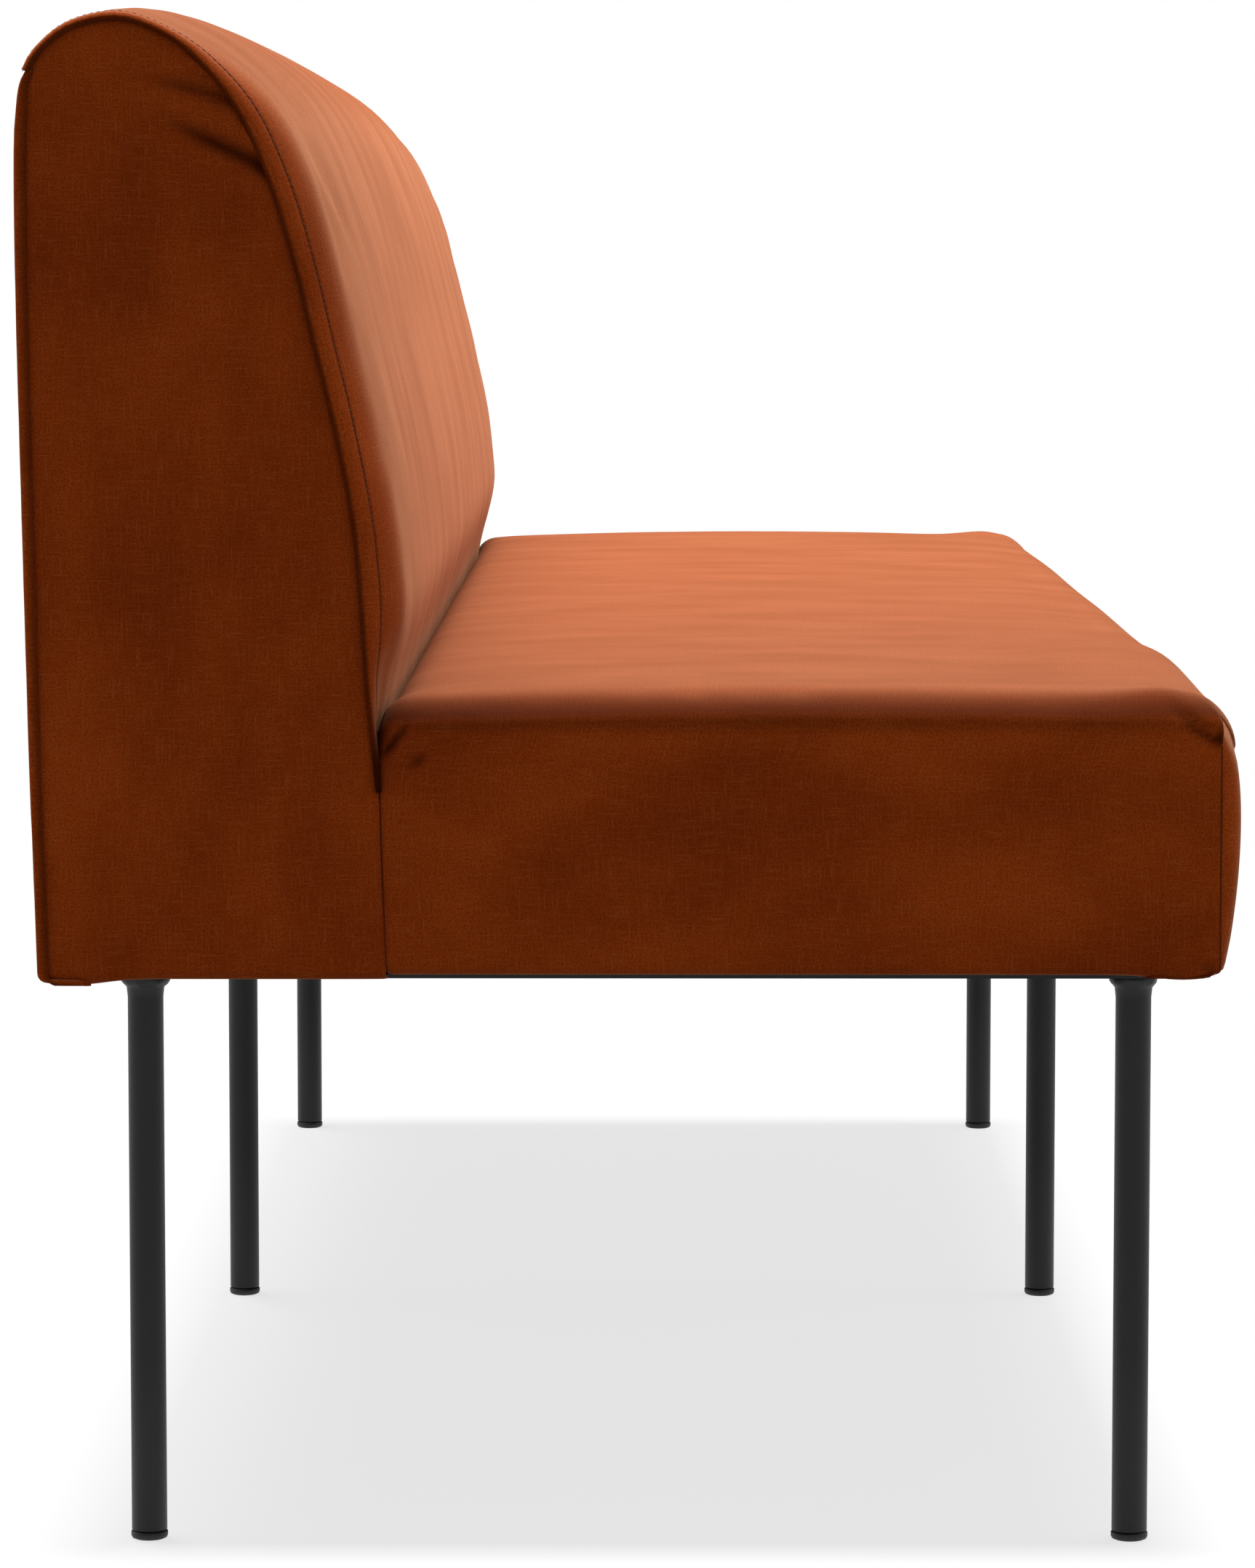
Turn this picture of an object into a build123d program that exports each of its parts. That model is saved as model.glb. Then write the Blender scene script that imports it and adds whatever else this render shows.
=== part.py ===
import os
from math import atan2, cos, radians, sin, tan

from build123d import *

# Millimetres. X runs along the bench, the front faces -Y, Z is up, the floor is at Z = 0.

# Overall sizes
bench_length = 1800.0
bench_depth = 650.0
bench_height = 850.0
seat_height = 490.0
underside_height = 336.0  # lowest face of the covers
back_depth = 190.0  # rear face to the seam between seat and back

# Covers and padding
fabric_thickness = 1.5
wadding_thickness = 6.0
felt_thickness = 2.0
seat_foam_thickness = 65.0
dust_cover_thickness = 0.8
dust_cover_margin = 12.0
layer_clearance = 0.3
hem_width = 30.0

# Form of the seat cushion
seat_crown = 6.0  # rise of the top between front and rear edges
seat_front_roll = 42.0
seat_rear_roll = 22.0
seat_end_roll = 32.0
seat_corner_roll = 12.0
front_crown = 8.0  # the front stands this far ahead of its corners
end_draw_in = 4.0  # the ends come in this far towards the front corners

# Form of the back cushion
back_bulge = 18.0  # the padded front stands this far ahead of the end seams
back_top_crown = 3.0
swell_power = 14  # a higher power swells closer to the ends
lumbar_rise = 45.0  # fullest point of the lower back, above the seat
lumbar_lean = 3.0
shoulder_depth = 141.0  # measured from the rear face
shoulder_drop = 100.0  # measured from the top of the end seam
shoulder_angle = 20.0
brow_depth = 88.0
brow_drop = 13.5
brow_angle = 45.0
crest_radius = 50.0
rear_seam_drop = 27.0  # seam between the top and the rear panel, below the top
section_distances = (15.0, 35.0, 65.0, 110.0, 180.0, 320.0)  # sections of the swelling, from each end

# Wooden frame
rail_thickness = 20.0
inner_rail_thickness = 30.0
inner_rail_lap = 5.0  # the inner rail reaches this far behind the seam
former_thickness = 18.0
back_former_offset = 300.0  # back formers each side of the middle
back_foam_thickness = 46.0
top_foam_thickness = 38.0
core_top_depth = 76.0  # depth of the back frame at its top
top_rail_height = 70.0
rear_board_thickness = 3.0
leg_rail_width = 100.0
leg_rail_thickness = 18.0
corner_block_leg = 55.0
corner_block_drop = 10.0

# Webbing
webbing_width = 60.0
webbing_thickness = 1.5
webbing_pitch = 112.0
webbing_end_lap = 5.0
long_webbing_count = 3
back_webbing_pitch = 160.0
weave_flat = 4.0  # a strap stays level this far past the strap that it crosses

# Steel legs and crossbars
leg_diameter = 20.0
leg_wall = 1.5
leg_end_inset = 135.0  # leg axis from each end of the bench
leg_front_inset = 43.0
leg_rear_inset = 54.0
weld_size = 3.5
bar_width = 30.0
bar_height = 15.0
bar_wall = 1.5
bar_overhang = 18.0
cap_flange = 2.0
cap_plug_length = 10.0
fit_clearance = 0.3

# Foot glides
glide_height = 5.0
glide_chamfer = 1.0
glide_plug_length = 14.0

# Bolts, tee nuts and screws
bolt_diameter = 6.0
bolt_head_diameter = 12.0
bolt_head_height = 4.0
bolt_end = 3.0  # bolt past the tee nut
bolt_rail_distance = 60.0
access_hole_diameter = 15.0
tee_nut_diameter = 18.0
tee_nut_flange = 1.2
tee_nut_barrel_diameter = 8.0
tee_nut_barrel_length = 12.0
screw_diameter = 4.0
screw_head_diameter = 8.0
screw_length = 45.0
fastener_sides = 8  # small hidden fasteners and their holes are octagonal

# Planes and levels that the pieces share
half_length = bench_length / 2
rear_face = bench_depth / 2
front_face = -bench_depth / 2
seam_y = rear_face - back_depth
end_top = bench_height - back_top_crown
cover_inside = fabric_thickness
wadding_outside = fabric_thickness + layer_clearance
wadding_inside = wadding_outside + wadding_thickness
core_inset = wadding_inside + layer_clearance
seat_rear = seam_y - layer_clearance
frame_bottom = underside_height + fabric_thickness
weave_rise = (webbing_thickness + layer_clearance) / 2
felt_top = seat_height - core_inset - seat_foam_thickness
felt_bottom = felt_top - felt_thickness
rail_top = felt_bottom - weave_rise - webbing_thickness
leg_rail_top = frame_bottom + leg_rail_thickness
core_end = half_length - end_draw_in - core_inset
former_inside = core_end - former_thickness
core_rear = rear_face - core_inset
former_rear = core_rear - rear_board_thickness
rear_rail_front = former_rear - rail_thickness
front_rail_front = front_face + front_crown + core_inset
front_rail_rear = front_rail_front + rail_thickness
inner_rail_rear = seam_y + inner_rail_lap
inner_rail_front = inner_rail_rear - inner_rail_thickness
core_front = seam_y + core_inset + back_foam_thickness
core_top = end_top - core_inset - top_foam_thickness
core_top_front = core_rear - core_top_depth
dust_cover_bottom = underside_height - dust_cover_thickness
bar_bottom = dust_cover_bottom - bar_height
leg_x = {"left": leg_end_inset - half_length, "centre": 0.0, "right": half_length - leg_end_inset}
leg_y = {"front": front_face + leg_front_inset, "rear": rear_face - leg_rear_inset}

# The front of the back frame stands upright to the seat's height and leans back from there
frame_lean = atan2(core_top_front - core_front, core_top - seat_height)
lean_up = Vector(sin(frame_lean), cos(frame_lean))
lean_back = Vector(cos(frame_lean), -sin(frame_lean))
web_foot = (core_front + webbing_thickness, rail_top)
web_bend = (core_front + webbing_thickness, seat_height - webbing_thickness * tan(frame_lean / 2))
web_head = (core_top_front + webbing_thickness / cos(frame_lean), core_top)

os.makedirs("parts", exist_ok=True)


def save(part, label):
    part.label = label
    export_step(part, f"parts/{label}.step")


def seat_solid(inset, base, rear, corner_roll=0):
    """Crowned seat form: side view, front view and plan cut from each other."""
    front = front_face + inset
    end = half_length - inset
    edge = seat_height - seat_crown - inset
    front_roll = seat_front_roll - inset
    rear_roll = seat_rear_roll - inset
    end_roll = seat_end_roll - inset
    corner = (end - end_draw_in, front + front_crown)
    with BuildPart() as solid:
        with BuildSketch(Plane.YZ):
            with BuildLine():
                Line((rear, base), (front, base))
                Line((front, base), (front, edge - front_roll))
                TangentArc((front, edge - front_roll), (front + front_roll, edge), tangent=(0, 1))
                ThreePointArc(
                    (front + front_roll, edge),
                    ((front + rear) / 2, edge + seat_crown),
                    (rear - rear_roll, edge),
                )
                TangentArc((rear - rear_roll, edge), (rear, edge - rear_roll), tangent=(1, 0))
                Line((rear, edge - rear_roll), (rear, base))
            make_face()
        extrude(amount=half_length, both=True)
        with BuildSketch(Plane.XZ):
            top = edge + seat_crown
            with BuildLine():
                FilletPolyline(
                    (-end, base), (-end, top), (end, top), (end, base),
                    radius=[0, end_roll, end_roll, 0], close=True,
                )
            make_face()
        extrude(amount=bench_depth, both=True, mode=Mode.INTERSECT)
        with BuildSketch(Plane.XY) as plan:
            with BuildLine():
                TangentArc((-end, rear), (-corner[0], corner[1]), tangent=(0, -1))
                ThreePointArc((-corner[0], corner[1]), (0, front), corner)
                TangentArc((end, rear), corner, tangent=(0, -1))
                Line((-end, rear), (end, rear))
            make_face()
            if corner_roll > 0:
                fillet(plan.vertices().group_by(Axis.Y)[0], corner_roll)
        extrude(amount=bench_height, mode=Mode.INTERSECT)
    return solid.part


def swell(distance):
    """Share of the full bulge at a distance from the end of the bench."""
    return 1 - (1 - max(distance, 0) / half_length) ** swell_power


def back_outline(inset, base, distance):
    """Edges of the back's side view at a distance from the end of the bench."""
    front_growth = back_bulge * swell(distance) - inset
    top_growth = back_top_crown * swell(distance) - inset
    shoulder = radians(shoulder_angle)
    brow = radians(brow_angle)
    foot = (seam_y + inset, base)
    crease = (seam_y + inset, seat_height - seat_rear_roll)
    lumbar = (seam_y + lumbar_lean - front_growth, seat_height + lumbar_rise)
    shoulder_point = (
        rear_face - shoulder_depth - front_growth * cos(shoulder),
        end_top - shoulder_drop + front_growth * sin(shoulder),
    )
    brow_point = (
        rear_face - brow_depth - front_growth * cos(brow),
        end_top - brow_drop + top_growth * sin(brow),
    )
    crest = (rear_face - crest_radius, end_top + top_growth)
    rear_shoulder = (rear_face - inset, end_top - crest_radius)
    with BuildLine() as outline:
        Line(foot, crease)
        TangentArc(lumbar, crease, tangent=(0, -1))
        lower = TangentArc(lumbar, shoulder_point, tangent=(0, 1))
        TangentArc(shoulder_point, brow_point, tangent=lower % 1)
        TangentArc(crest, brow_point, tangent=(-1, 0))
        TangentArc(crest, rear_shoulder, tangent=(1, 0))
        Line(rear_shoulder, (rear_face - inset, base))
        Line((rear_face - inset, base), foot)
    return outline.edges()


def back_solid(inset, base, end_inset):
    """Back form, lofted along the bench through sections that swell away from the ends."""
    distances = [end_inset, *section_distances]
    stations = [(distance - half_length, distance) for distance in distances]
    stations.append((0.0, half_length))
    stations += [(half_length - distance, distance) for distance in reversed(distances)]
    with BuildPart() as solid:
        for x, distance in stations:
            with BuildSketch(Plane.YZ.offset(x)):
                make_face(back_outline(inset, base, distance))
        loft(ruled=True)
    return solid.part


def zone(x, y, z):
    """Box between two limits on each axis, used as a cutter."""
    size = (x[1] - x[0], y[1] - y[0], z[1] - z[0])
    centre = ((x[0] + x[1]) / 2, (y[0] + y[1]) / 2, (z[0] + z[1]) / 2)
    return Pos(*centre) * Box(*size, mode=Mode.PRIVATE)


def board(label, x, y, z, cutters=()):
    """Plain rectangular board with its holes or notches."""
    with BuildPart() as piece:
        add(zone(x, y, z))
        for cutter in cutters:
            add(cutter, mode=Mode.SUBTRACT)
    save(piece.part, label)


def strip(points, thickness):
    """Closed outline of a strap along points that run left to right."""
    upper = [(along, up + thickness / 2) for along, up in points]
    lower = [(along, up - thickness / 2) for along, up in reversed(points)]
    return upper + lower


# Seat cover: one shell with a turned-under hem, open below and behind under the crease
seat_form = seat_solid(0, underside_height, seat_rear, seat_corner_roll)
seat_form_inside = seat_solid(
    cover_inside, frame_bottom, seat_rear - fabric_thickness, seat_corner_roll - cover_inside
)
seat_opening_end = half_length - 2 * fabric_thickness
with BuildPart() as seat_cover:
    add(seat_form)
    add(seat_form_inside, mode=Mode.SUBTRACT)
    add(
        zone(
            (hem_width - half_length, half_length - hem_width),
            (front_face + front_crown + hem_width, seam_y),
            (underside_height, frame_bottom),
        ),
        mode=Mode.SUBTRACT,
    )
    add(
        zone(
            (-seat_opening_end, seat_opening_end),
            (seat_rear - 2 * fabric_thickness, seam_y),
            (frame_bottom, rail_top),
        ),
        mode=Mode.SUBTRACT,
    )
save(seat_cover.part, "seat_cover")

# Seat wadding: a layer over the foam's top and down the front and ends of the frame
seat_wadding_rear = seat_rear - fabric_thickness - layer_clearance
wadding_form = seat_solid(
    wadding_outside, frame_bottom, seat_wadding_rear, seat_corner_roll - wadding_outside
)
wadding_form_inside = seat_solid(wadding_inside, frame_bottom - wadding_thickness, seam_y)
with BuildPart() as seat_wadding:
    add(wadding_form)
    add(wadding_form_inside, mode=Mode.SUBTRACT)
save(seat_wadding.part, "seat_wadding")

# Seat foam on the felt
with BuildPart() as seat_foam:
    add(seat_solid(core_inset, felt_top, seat_wadding_rear))
save(seat_foam.part, "seat_foam")

# Covers of the back: a front and top panel, a rear panel and two flat end panels
back_form = back_solid(0, underside_height, fabric_thickness)
back_form_inside = back_solid(cover_inside, underside_height - hem_width, -fabric_thickness)
rear_seam_height = end_top - rear_seam_drop
cover_end = half_length - fabric_thickness
rear_zone = zone(
    (-half_length, half_length),
    (rear_face - crest_radius, rear_face + crest_radius),
    (underside_height, rear_seam_height),
)
with BuildPart() as back_front_cover:
    add(back_form)
    add(back_form_inside, mode=Mode.SUBTRACT)
    add(rear_zone, mode=Mode.SUBTRACT)
    add(
        zone((-half_length, half_length), (front_face, rear_face), (underside_height, rail_top)),
        mode=Mode.SUBTRACT,
    )
save(back_front_cover.part, "back_front_cover")

with BuildPart() as rear_cover:
    add(back_form)
    add(back_form_inside, mode=Mode.SUBTRACT)
    add(rear_zone, mode=Mode.INTERSECT)
    add(
        zone(
            (-cover_end, cover_end),
            (rear_face - hem_width, rear_face - fabric_thickness),
            (underside_height, frame_bottom),
        )
    )
save(rear_cover.part, "rear_cover")

for side, sign in (("left", -1), ("right", 1)):
    with BuildPart() as back_end_cover:
        with BuildSketch(Plane.YZ.offset(sign * cover_end)):
            make_face(back_outline(0, underside_height, 0))
        extrude(amount=sign * fabric_thickness)
        hem = sorted((sign * cover_end, sign * (half_length - hem_width)))
        add(zone(hem, (seam_y, rear_face - hem_width), (underside_height, frame_bottom)))
    save(back_end_cover.part, f"back_end_cover_{side}")

# Back wadding: over the front, top, ends and rear, with the front ending at the inner rail
with BuildPart() as back_wadding:
    add(back_solid(wadding_outside, frame_bottom, wadding_outside))
    add(
        back_solid(wadding_inside, frame_bottom - wadding_thickness, wadding_inside),
        mode=Mode.SUBTRACT,
    )
    add(
        zone(
            (wadding_inside - half_length, half_length - wadding_inside),
            (front_face, core_front),
            (frame_bottom, rail_top),
        ),
        mode=Mode.SUBTRACT,
    )
save(back_wadding.part, "back_wadding")

# Back foam: in front of and over the frame of the back
core_outline = [
    (core_front, underside_height),
    (core_front, seat_height),
    (core_top_front, core_top),
    (rear_face, core_top),
    (rear_face, underside_height),
]
with BuildPart() as back_foam:
    add(back_solid(core_inset, rail_top, core_inset))
    with BuildSketch(Plane.YZ):
        Polygon(*core_outline, align=None)
    extrude(amount=half_length, both=True, mode=Mode.SUBTRACT)
    add(
        zone((-half_length, half_length), (core_rear, rear_face), (rail_top, bench_height)),
        mode=Mode.SUBTRACT,
    )
save(back_foam.part, "back_foam")

# Outline of the top rail, square to the leaning front of the frame
rail_head = Vector(*web_head)
top_rail_outline = [
    rail_head,
    rail_head - lean_up * top_rail_height,
    rail_head - lean_up * top_rail_height + lean_back * rail_thickness,
    rail_head + lean_back * rail_thickness,
]
top_rail_notch = [
    rail_head + lean_up * rail_thickness,
    *top_rail_outline[1:3],
    rail_head + lean_up * rail_thickness + lean_back * rail_thickness,
]
top_rail_middle = rail_head - lean_up * top_rail_height / 2 + lean_back * rail_thickness / 2

# Screw places on the end formers: two for each rail, a quarter of its height from its edges
rail_heights = [
    (front_rail_front + rail_thickness / 2, frame_bottom, rail_top),
    ((inner_rail_front + inner_rail_rear) / 2, leg_rail_top, rail_top),
    (former_rear - rail_thickness / 2, frame_bottom, rail_top),
    (web_foot[0] + rail_thickness / 2, rail_top, web_bend[1]),
]
screw_places = []
for y, low, high in rail_heights:
    screw_places += [(y, low + (high - low) / 4), (y, high - (high - low) / 4)]
for step in (-1, 1):
    place = top_rail_middle + lean_up * step * top_rail_height / 4
    screw_places.append((place.X, place.Y))


def screw_planes(x):
    """Planes of the screws at +x or -x, facing out of that end."""
    out = (1, 0, 0) if x > 0 else (-1, 0, 0)
    return [Plane(origin=(x, y, z), z_dir=out) for y, z in screw_places]


def screw_solid(clearance):
    """Countersunk screw below a flat face, or the hole for it."""
    head = screw_head_diameter / 2 + clearance
    shank = screw_diameter / 2 + clearance
    with BuildPart() as solid:
        with BuildSketch():
            RegularPolygon(head, fastener_sides, major_radius=False)
        with BuildSketch(Plane.XY.offset(shank - head)):
            RegularPolygon(shank, fastener_sides, major_radius=False)
        loft(ruled=True)
        with BuildSketch():
            RegularPolygon(shank, fastener_sides, major_radius=False)
        extrude(amount=-screw_length - clearance)
    return solid.part


screw = screw_solid(0)
screw_hole = screw_solid(fit_clearance)
end_screws = {sign: screw_planes(sign * core_end) for sign in (-1, 1)}
with BuildPart() as frame_screws:
    for planes in end_screws.values():
        with Locations(*planes):
            add(screw)
save(frame_screws.part, "frame_screws")

# End formers: L-shaped plywood, seat rail and back outline in one piece
end_former_outline = [
    (front_rail_front, frame_bottom),
    (front_rail_front, rail_top),
    web_foot,
    web_bend,
    web_head,
    (former_rear, core_top),
    (former_rear, frame_bottom),
]
for side, sign in (("left", -1), ("right", 1)):
    with BuildPart() as end_former:
        with BuildSketch(Plane.YZ.offset(sign * former_inside)):
            Polygon(*end_former_outline, align=None)
        extrude(amount=sign * former_thickness)
        with Locations(*end_screws[sign]):
            add(screw_hole, mode=Mode.SUBTRACT)
    save(end_former.part, f"end_former_{side}")

# Back formers between the inner and the rear rail, notched for the top and lumbar rails
back_former_outline = [
    (inner_rail_rear, frame_bottom),
    (inner_rail_rear, rail_top),
    web_foot,
    web_bend,
    web_head,
    (former_rear, core_top),
    (former_rear, rail_top),
    (rear_rail_front, rail_top),
    (rear_rail_front, frame_bottom),
]
lumbar_rail_rear = web_foot[0] + rail_thickness
for side, sign in (("left", -1), ("right", 1)):
    with BuildPart() as back_former:
        with BuildSketch(Plane.YZ.offset(sign * back_former_offset)):
            Polygon(*back_former_outline, align=None)
            Polygon(*top_rail_notch, align=None, mode=Mode.SUBTRACT)
        extrude(amount=former_thickness / 2, both=True)
        add(
            zone((-half_length, half_length), (core_front, lumbar_rail_rear), (rail_top, web_bend[1])),
            mode=Mode.SUBTRACT,
        )
    save(back_former.part, f"back_former_{side}")

# Rails between the end formers, drilled for the screws
screw_bores = [plane.location * screw_hole for planes in end_screws.values() for plane in planes]
rail_x = (-former_inside, former_inside)
board("front_rail", rail_x, (front_rail_front, front_rail_rear), (frame_bottom, rail_top), screw_bores)
board("inner_rail", rail_x, (inner_rail_front, inner_rail_rear), (leg_rail_top, rail_top), screw_bores)
board("rear_rail", rail_x, (rear_rail_front, former_rear), (frame_bottom, rail_top), screw_bores)
board("lumbar_rail", rail_x, (web_foot[0], lumbar_rail_rear), (rail_top, web_bend[1]), screw_bores)

with BuildPart() as top_rail:
    with BuildSketch(Plane.YZ):
        Polygon(*top_rail_outline, align=None)
    extrude(amount=former_inside, both=True)
    for bore in screw_bores:
        add(bore, mode=Mode.SUBTRACT)
save(top_rail.part, "top_rail")

board(
    "rear_board",
    (-core_end, core_end),
    (former_rear, core_rear),
    (frame_bottom, core_top),
)

# Bolts run up through each crossbar into tee nuts on its leg rail
bolt_y = [
    front_rail_rear + bolt_rail_distance,
    inner_rail_front - bolt_rail_distance,
    (inner_rail_rear + rear_rail_front) / 2,
]
bolt_seat = dust_cover_bottom - bar_wall
bolt_top = leg_rail_top + tee_nut_flange + bolt_end
bolt_places = [(x, y) for x in leg_x.values() for y in bolt_y]
bolt_hole_radius = bolt_diameter / 2 + fit_clearance
tee_nut_hole_radius = tee_nut_barrel_diameter / 2 + fit_clearance

with BuildPart() as crossbar_bolts:
    with BuildSketch(Plane.XY.offset(bolt_seat - bolt_head_height)):
        with Locations(*bolt_places):
            RegularPolygon(bolt_head_diameter / 2, 6, major_radius=False)
    extrude(amount=bolt_head_height)
    with BuildSketch(Plane.XY.offset(bolt_seat)):
        with Locations(*bolt_places):
            RegularPolygon(bolt_diameter / 2, fastener_sides, major_radius=False)
    extrude(amount=bolt_top - bolt_seat)
save(crossbar_bolts.part, "crossbar_bolts")

with BuildPart() as tee_nuts:
    with BuildSketch(Plane.XY.offset(leg_rail_top - tee_nut_barrel_length)):
        with Locations(*bolt_places):
            RegularPolygon(tee_nut_barrel_diameter / 2, fastener_sides, major_radius=False)
            RegularPolygon(bolt_hole_radius, fastener_sides, major_radius=False, mode=Mode.SUBTRACT)
    extrude(amount=tee_nut_barrel_length)
    with BuildSketch(Plane.XY.offset(leg_rail_top)):
        with Locations(*bolt_places):
            RegularPolygon(tee_nut_diameter / 2, fastener_sides, major_radius=False)
            RegularPolygon(bolt_hole_radius, fastener_sides, major_radius=False, mode=Mode.SUBTRACT)
    extrude(amount=tee_nut_flange)
save(tee_nuts.part, "tee_nuts")

# Leg rails: flat boards from front to rear rail that take the tee nuts
for name, x in leg_x.items():
    with BuildPart() as leg_rail:
        add(
            zone(
                (x - leg_rail_width / 2, x + leg_rail_width / 2),
                (front_rail_rear, rear_rail_front),
                (frame_bottom, leg_rail_top),
            )
        )
        with BuildSketch(Plane.XY.offset(frame_bottom)):
            with Locations(*[(x, y) for y in bolt_y]):
                RegularPolygon(tee_nut_hole_radius, fastener_sides, major_radius=False)
        extrude(amount=leg_rail_thickness, mode=Mode.SUBTRACT)
    save(leg_rail.part, f"leg_rail_{name}")

# Corner blocks in the four inside corners of the base frame
with BuildPart() as corner_blocks:
    with BuildSketch(Plane.XY.offset(leg_rail_top)):
        for sign in (-1, 1):
            for y, inward in ((front_rail_rear, 1), (rear_rail_front, -1)):
                x = sign * former_inside
                Polygon(
                    (x, y),
                    (x - sign * corner_block_leg, y),
                    (x, y + inward * corner_block_leg),
                    align=None,
                )
    extrude(amount=rail_top - corner_block_drop - leg_rail_top)
save(corner_blocks.part, "corner_blocks")

# Seat webbing: straps front to back and along the bench, over and under in turn
strap_level = rail_top + webbing_thickness / 2
strap_count = int((2 * former_inside - webbing_width) / webbing_pitch)
strap_x = [(i - (strap_count - 1) / 2) * webbing_pitch for i in range(strap_count)]
long_step = (inner_rail_front - front_rail_rear) / (long_webbing_count + 1)
strap_y = [front_rail_rear + (j + 1) * long_step for j in range(long_webbing_count)]
plateau = webbing_width / 2 + weave_flat
cross_webbing_rear = seat_wadding_rear - webbing_end_lap


def woven(start, start_inside, crossings, end_inside, end, first):
    """Centre line of a strap that weaves over and under the crossings."""
    points = [(start, strap_level), (start_inside, strap_level)]
    for i, crossing in enumerate(crossings):
        level = strap_level + weave_rise * (first if i % 2 == 0 else -first)
        points += [(crossing - plateau, level), (crossing + plateau, level)]
    return points + [(end_inside, strap_level), (end, strap_level)]


with BuildPart() as seat_webbing:
    for i, x in enumerate(strap_x):
        line = woven(
            front_rail_front + webbing_end_lap,
            front_rail_rear,
            strap_y,
            inner_rail_front,
            cross_webbing_rear,
            1 if i % 2 == 0 else -1,
        )
        with BuildSketch(Plane.YZ.offset(x)):
            Polygon(*strip(line, webbing_thickness), align=None)
        extrude(amount=webbing_width / 2, both=True)
save(seat_webbing.part, "seat_webbing")

with BuildPart() as seat_webbing_long:
    for j, y in enumerate(strap_y):
        line = woven(
            webbing_end_lap - core_end,
            -former_inside,
            strap_x,
            former_inside,
            core_end - webbing_end_lap,
            -1 if j % 2 == 0 else 1,
        )
        with BuildSketch(Plane.XZ.offset(-y)):
            Polygon(*strip(line, webbing_thickness), align=None)
        extrude(amount=webbing_width / 2, both=True)
save(seat_webbing_long.part, "seat_webbing_long")

board(
    "seat_felt",
    (-core_end, core_end),
    (front_rail_front, seat_wadding_rear),
    (felt_bottom, felt_top),
)

# Back webbing: upright straps from the lumbar rail over the bend to the top rail
back_strap_foot = rail_top + webbing_end_lap
back_strap_head = Vector(core_top_front, core_top) - lean_up * webbing_end_lap
back_strap_outline = [
    (core_front, back_strap_foot),
    (core_front, seat_height),
    back_strap_head,
    back_strap_head + lean_back * webbing_thickness,
    web_bend,
    (web_bend[0], back_strap_foot),
]
back_strap_count = int((2 * former_inside - webbing_width) / back_webbing_pitch)
with BuildPart() as back_webbing:
    for i in range(back_strap_count):
        x = (i - (back_strap_count - 1) / 2) * back_webbing_pitch
        with BuildSketch(Plane.YZ.offset(x)):
            Polygon(*back_strap_outline, align=None)
        extrude(amount=webbing_width / 2, both=True)
save(back_webbing.part, "back_webbing")

# Dust cover over the underside, clamped by the crossbars
with BuildPart() as dust_cover:
    add(
        zone(
            (dust_cover_margin - half_length, half_length - dust_cover_margin),
            (front_face + front_crown + dust_cover_margin, rear_face - dust_cover_margin),
            (dust_cover_bottom, underside_height),
        )
    )
    with BuildSketch(Plane.XY.offset(dust_cover_bottom)):
        with Locations(*bolt_places):
            RegularPolygon(bolt_hole_radius, fastener_sides, major_radius=False)
    extrude(amount=dust_cover_thickness, mode=Mode.SUBTRACT)
save(dust_cover.part, "dust_cover")

# Crossbars: rectangular tube with bolt holes above and access holes below
bar_y = (leg_y["front"] - bar_overhang, leg_y["rear"] + bar_overhang)
for name, x in leg_x.items():
    with BuildPart() as crossbar:
        with BuildSketch(Plane.XZ.offset(-bar_y[0])):
            with Locations((x, bar_bottom + bar_height / 2)):
                Rectangle(bar_width, bar_height)
                Rectangle(bar_width - 2 * bar_wall, bar_height - 2 * bar_wall, mode=Mode.SUBTRACT)
        extrude(amount=bar_y[0] - bar_y[1])
        with BuildSketch(Plane.XY.offset(bar_bottom)):
            with Locations(*[(x, y) for y in bolt_y]):
                RegularPolygon(access_hole_diameter / 2, fastener_sides, major_radius=False)
        extrude(amount=bar_wall, mode=Mode.SUBTRACT)
        with BuildSketch(Plane.XY.offset(bolt_seat)):
            with Locations(*[(x, y) for y in bolt_y]):
                RegularPolygon(bolt_hole_radius, fastener_sides, major_radius=False)
        extrude(amount=bar_wall, mode=Mode.SUBTRACT)
    save(crossbar.part, f"crossbar_{name}")

# Plastic caps pushed into the six ends of the crossbars
bar_middle = bar_bottom + bar_height / 2
plug_width = bar_width - 2 * bar_wall - 2 * fit_clearance
plug_height = bar_height - 2 * bar_wall - 2 * fit_clearance
with BuildPart() as crossbar_end_caps:
    for y, outward in ((bar_y[0], -1), (bar_y[1], 1)):
        with BuildSketch(Plane.XZ.offset(-y)):
            with Locations(*[(x, bar_middle) for x in leg_x.values()]):
                Rectangle(bar_width, bar_height)
        extrude(amount=-outward * cap_flange)
        with BuildSketch(Plane.XZ.offset(-y)):
            with Locations(*[(x, bar_middle) for x in leg_x.values()]):
                Rectangle(plug_width, plug_height)
        extrude(amount=outward * cap_plug_length)
save(crossbar_end_caps.part, "crossbar_end_caps")

# Legs: round tube with the weld bead that joins it to its crossbar
leg_radius = leg_diameter / 2
leg_bore = leg_radius - leg_wall
plug_radius = leg_bore - fit_clearance
for row, y in leg_y.items():
    for name, x in leg_x.items():
        with BuildPart() as leg:
            with BuildSketch(Plane.XZ.offset(-y)):
                with BuildLine():
                    Polyline(
                        (x + leg_bore, glide_height),
                        (x + leg_radius, glide_height),
                        (x + leg_radius, bar_bottom - weld_size),
                        (x + leg_radius + weld_size, bar_bottom),
                        (x + leg_bore, bar_bottom),
                        close=True,
                    )
                make_face()
            revolve(axis=Axis((x, y, 0), (0, 0, 1)))
        save(leg.part, f"leg_{row}_{name}")

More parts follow.
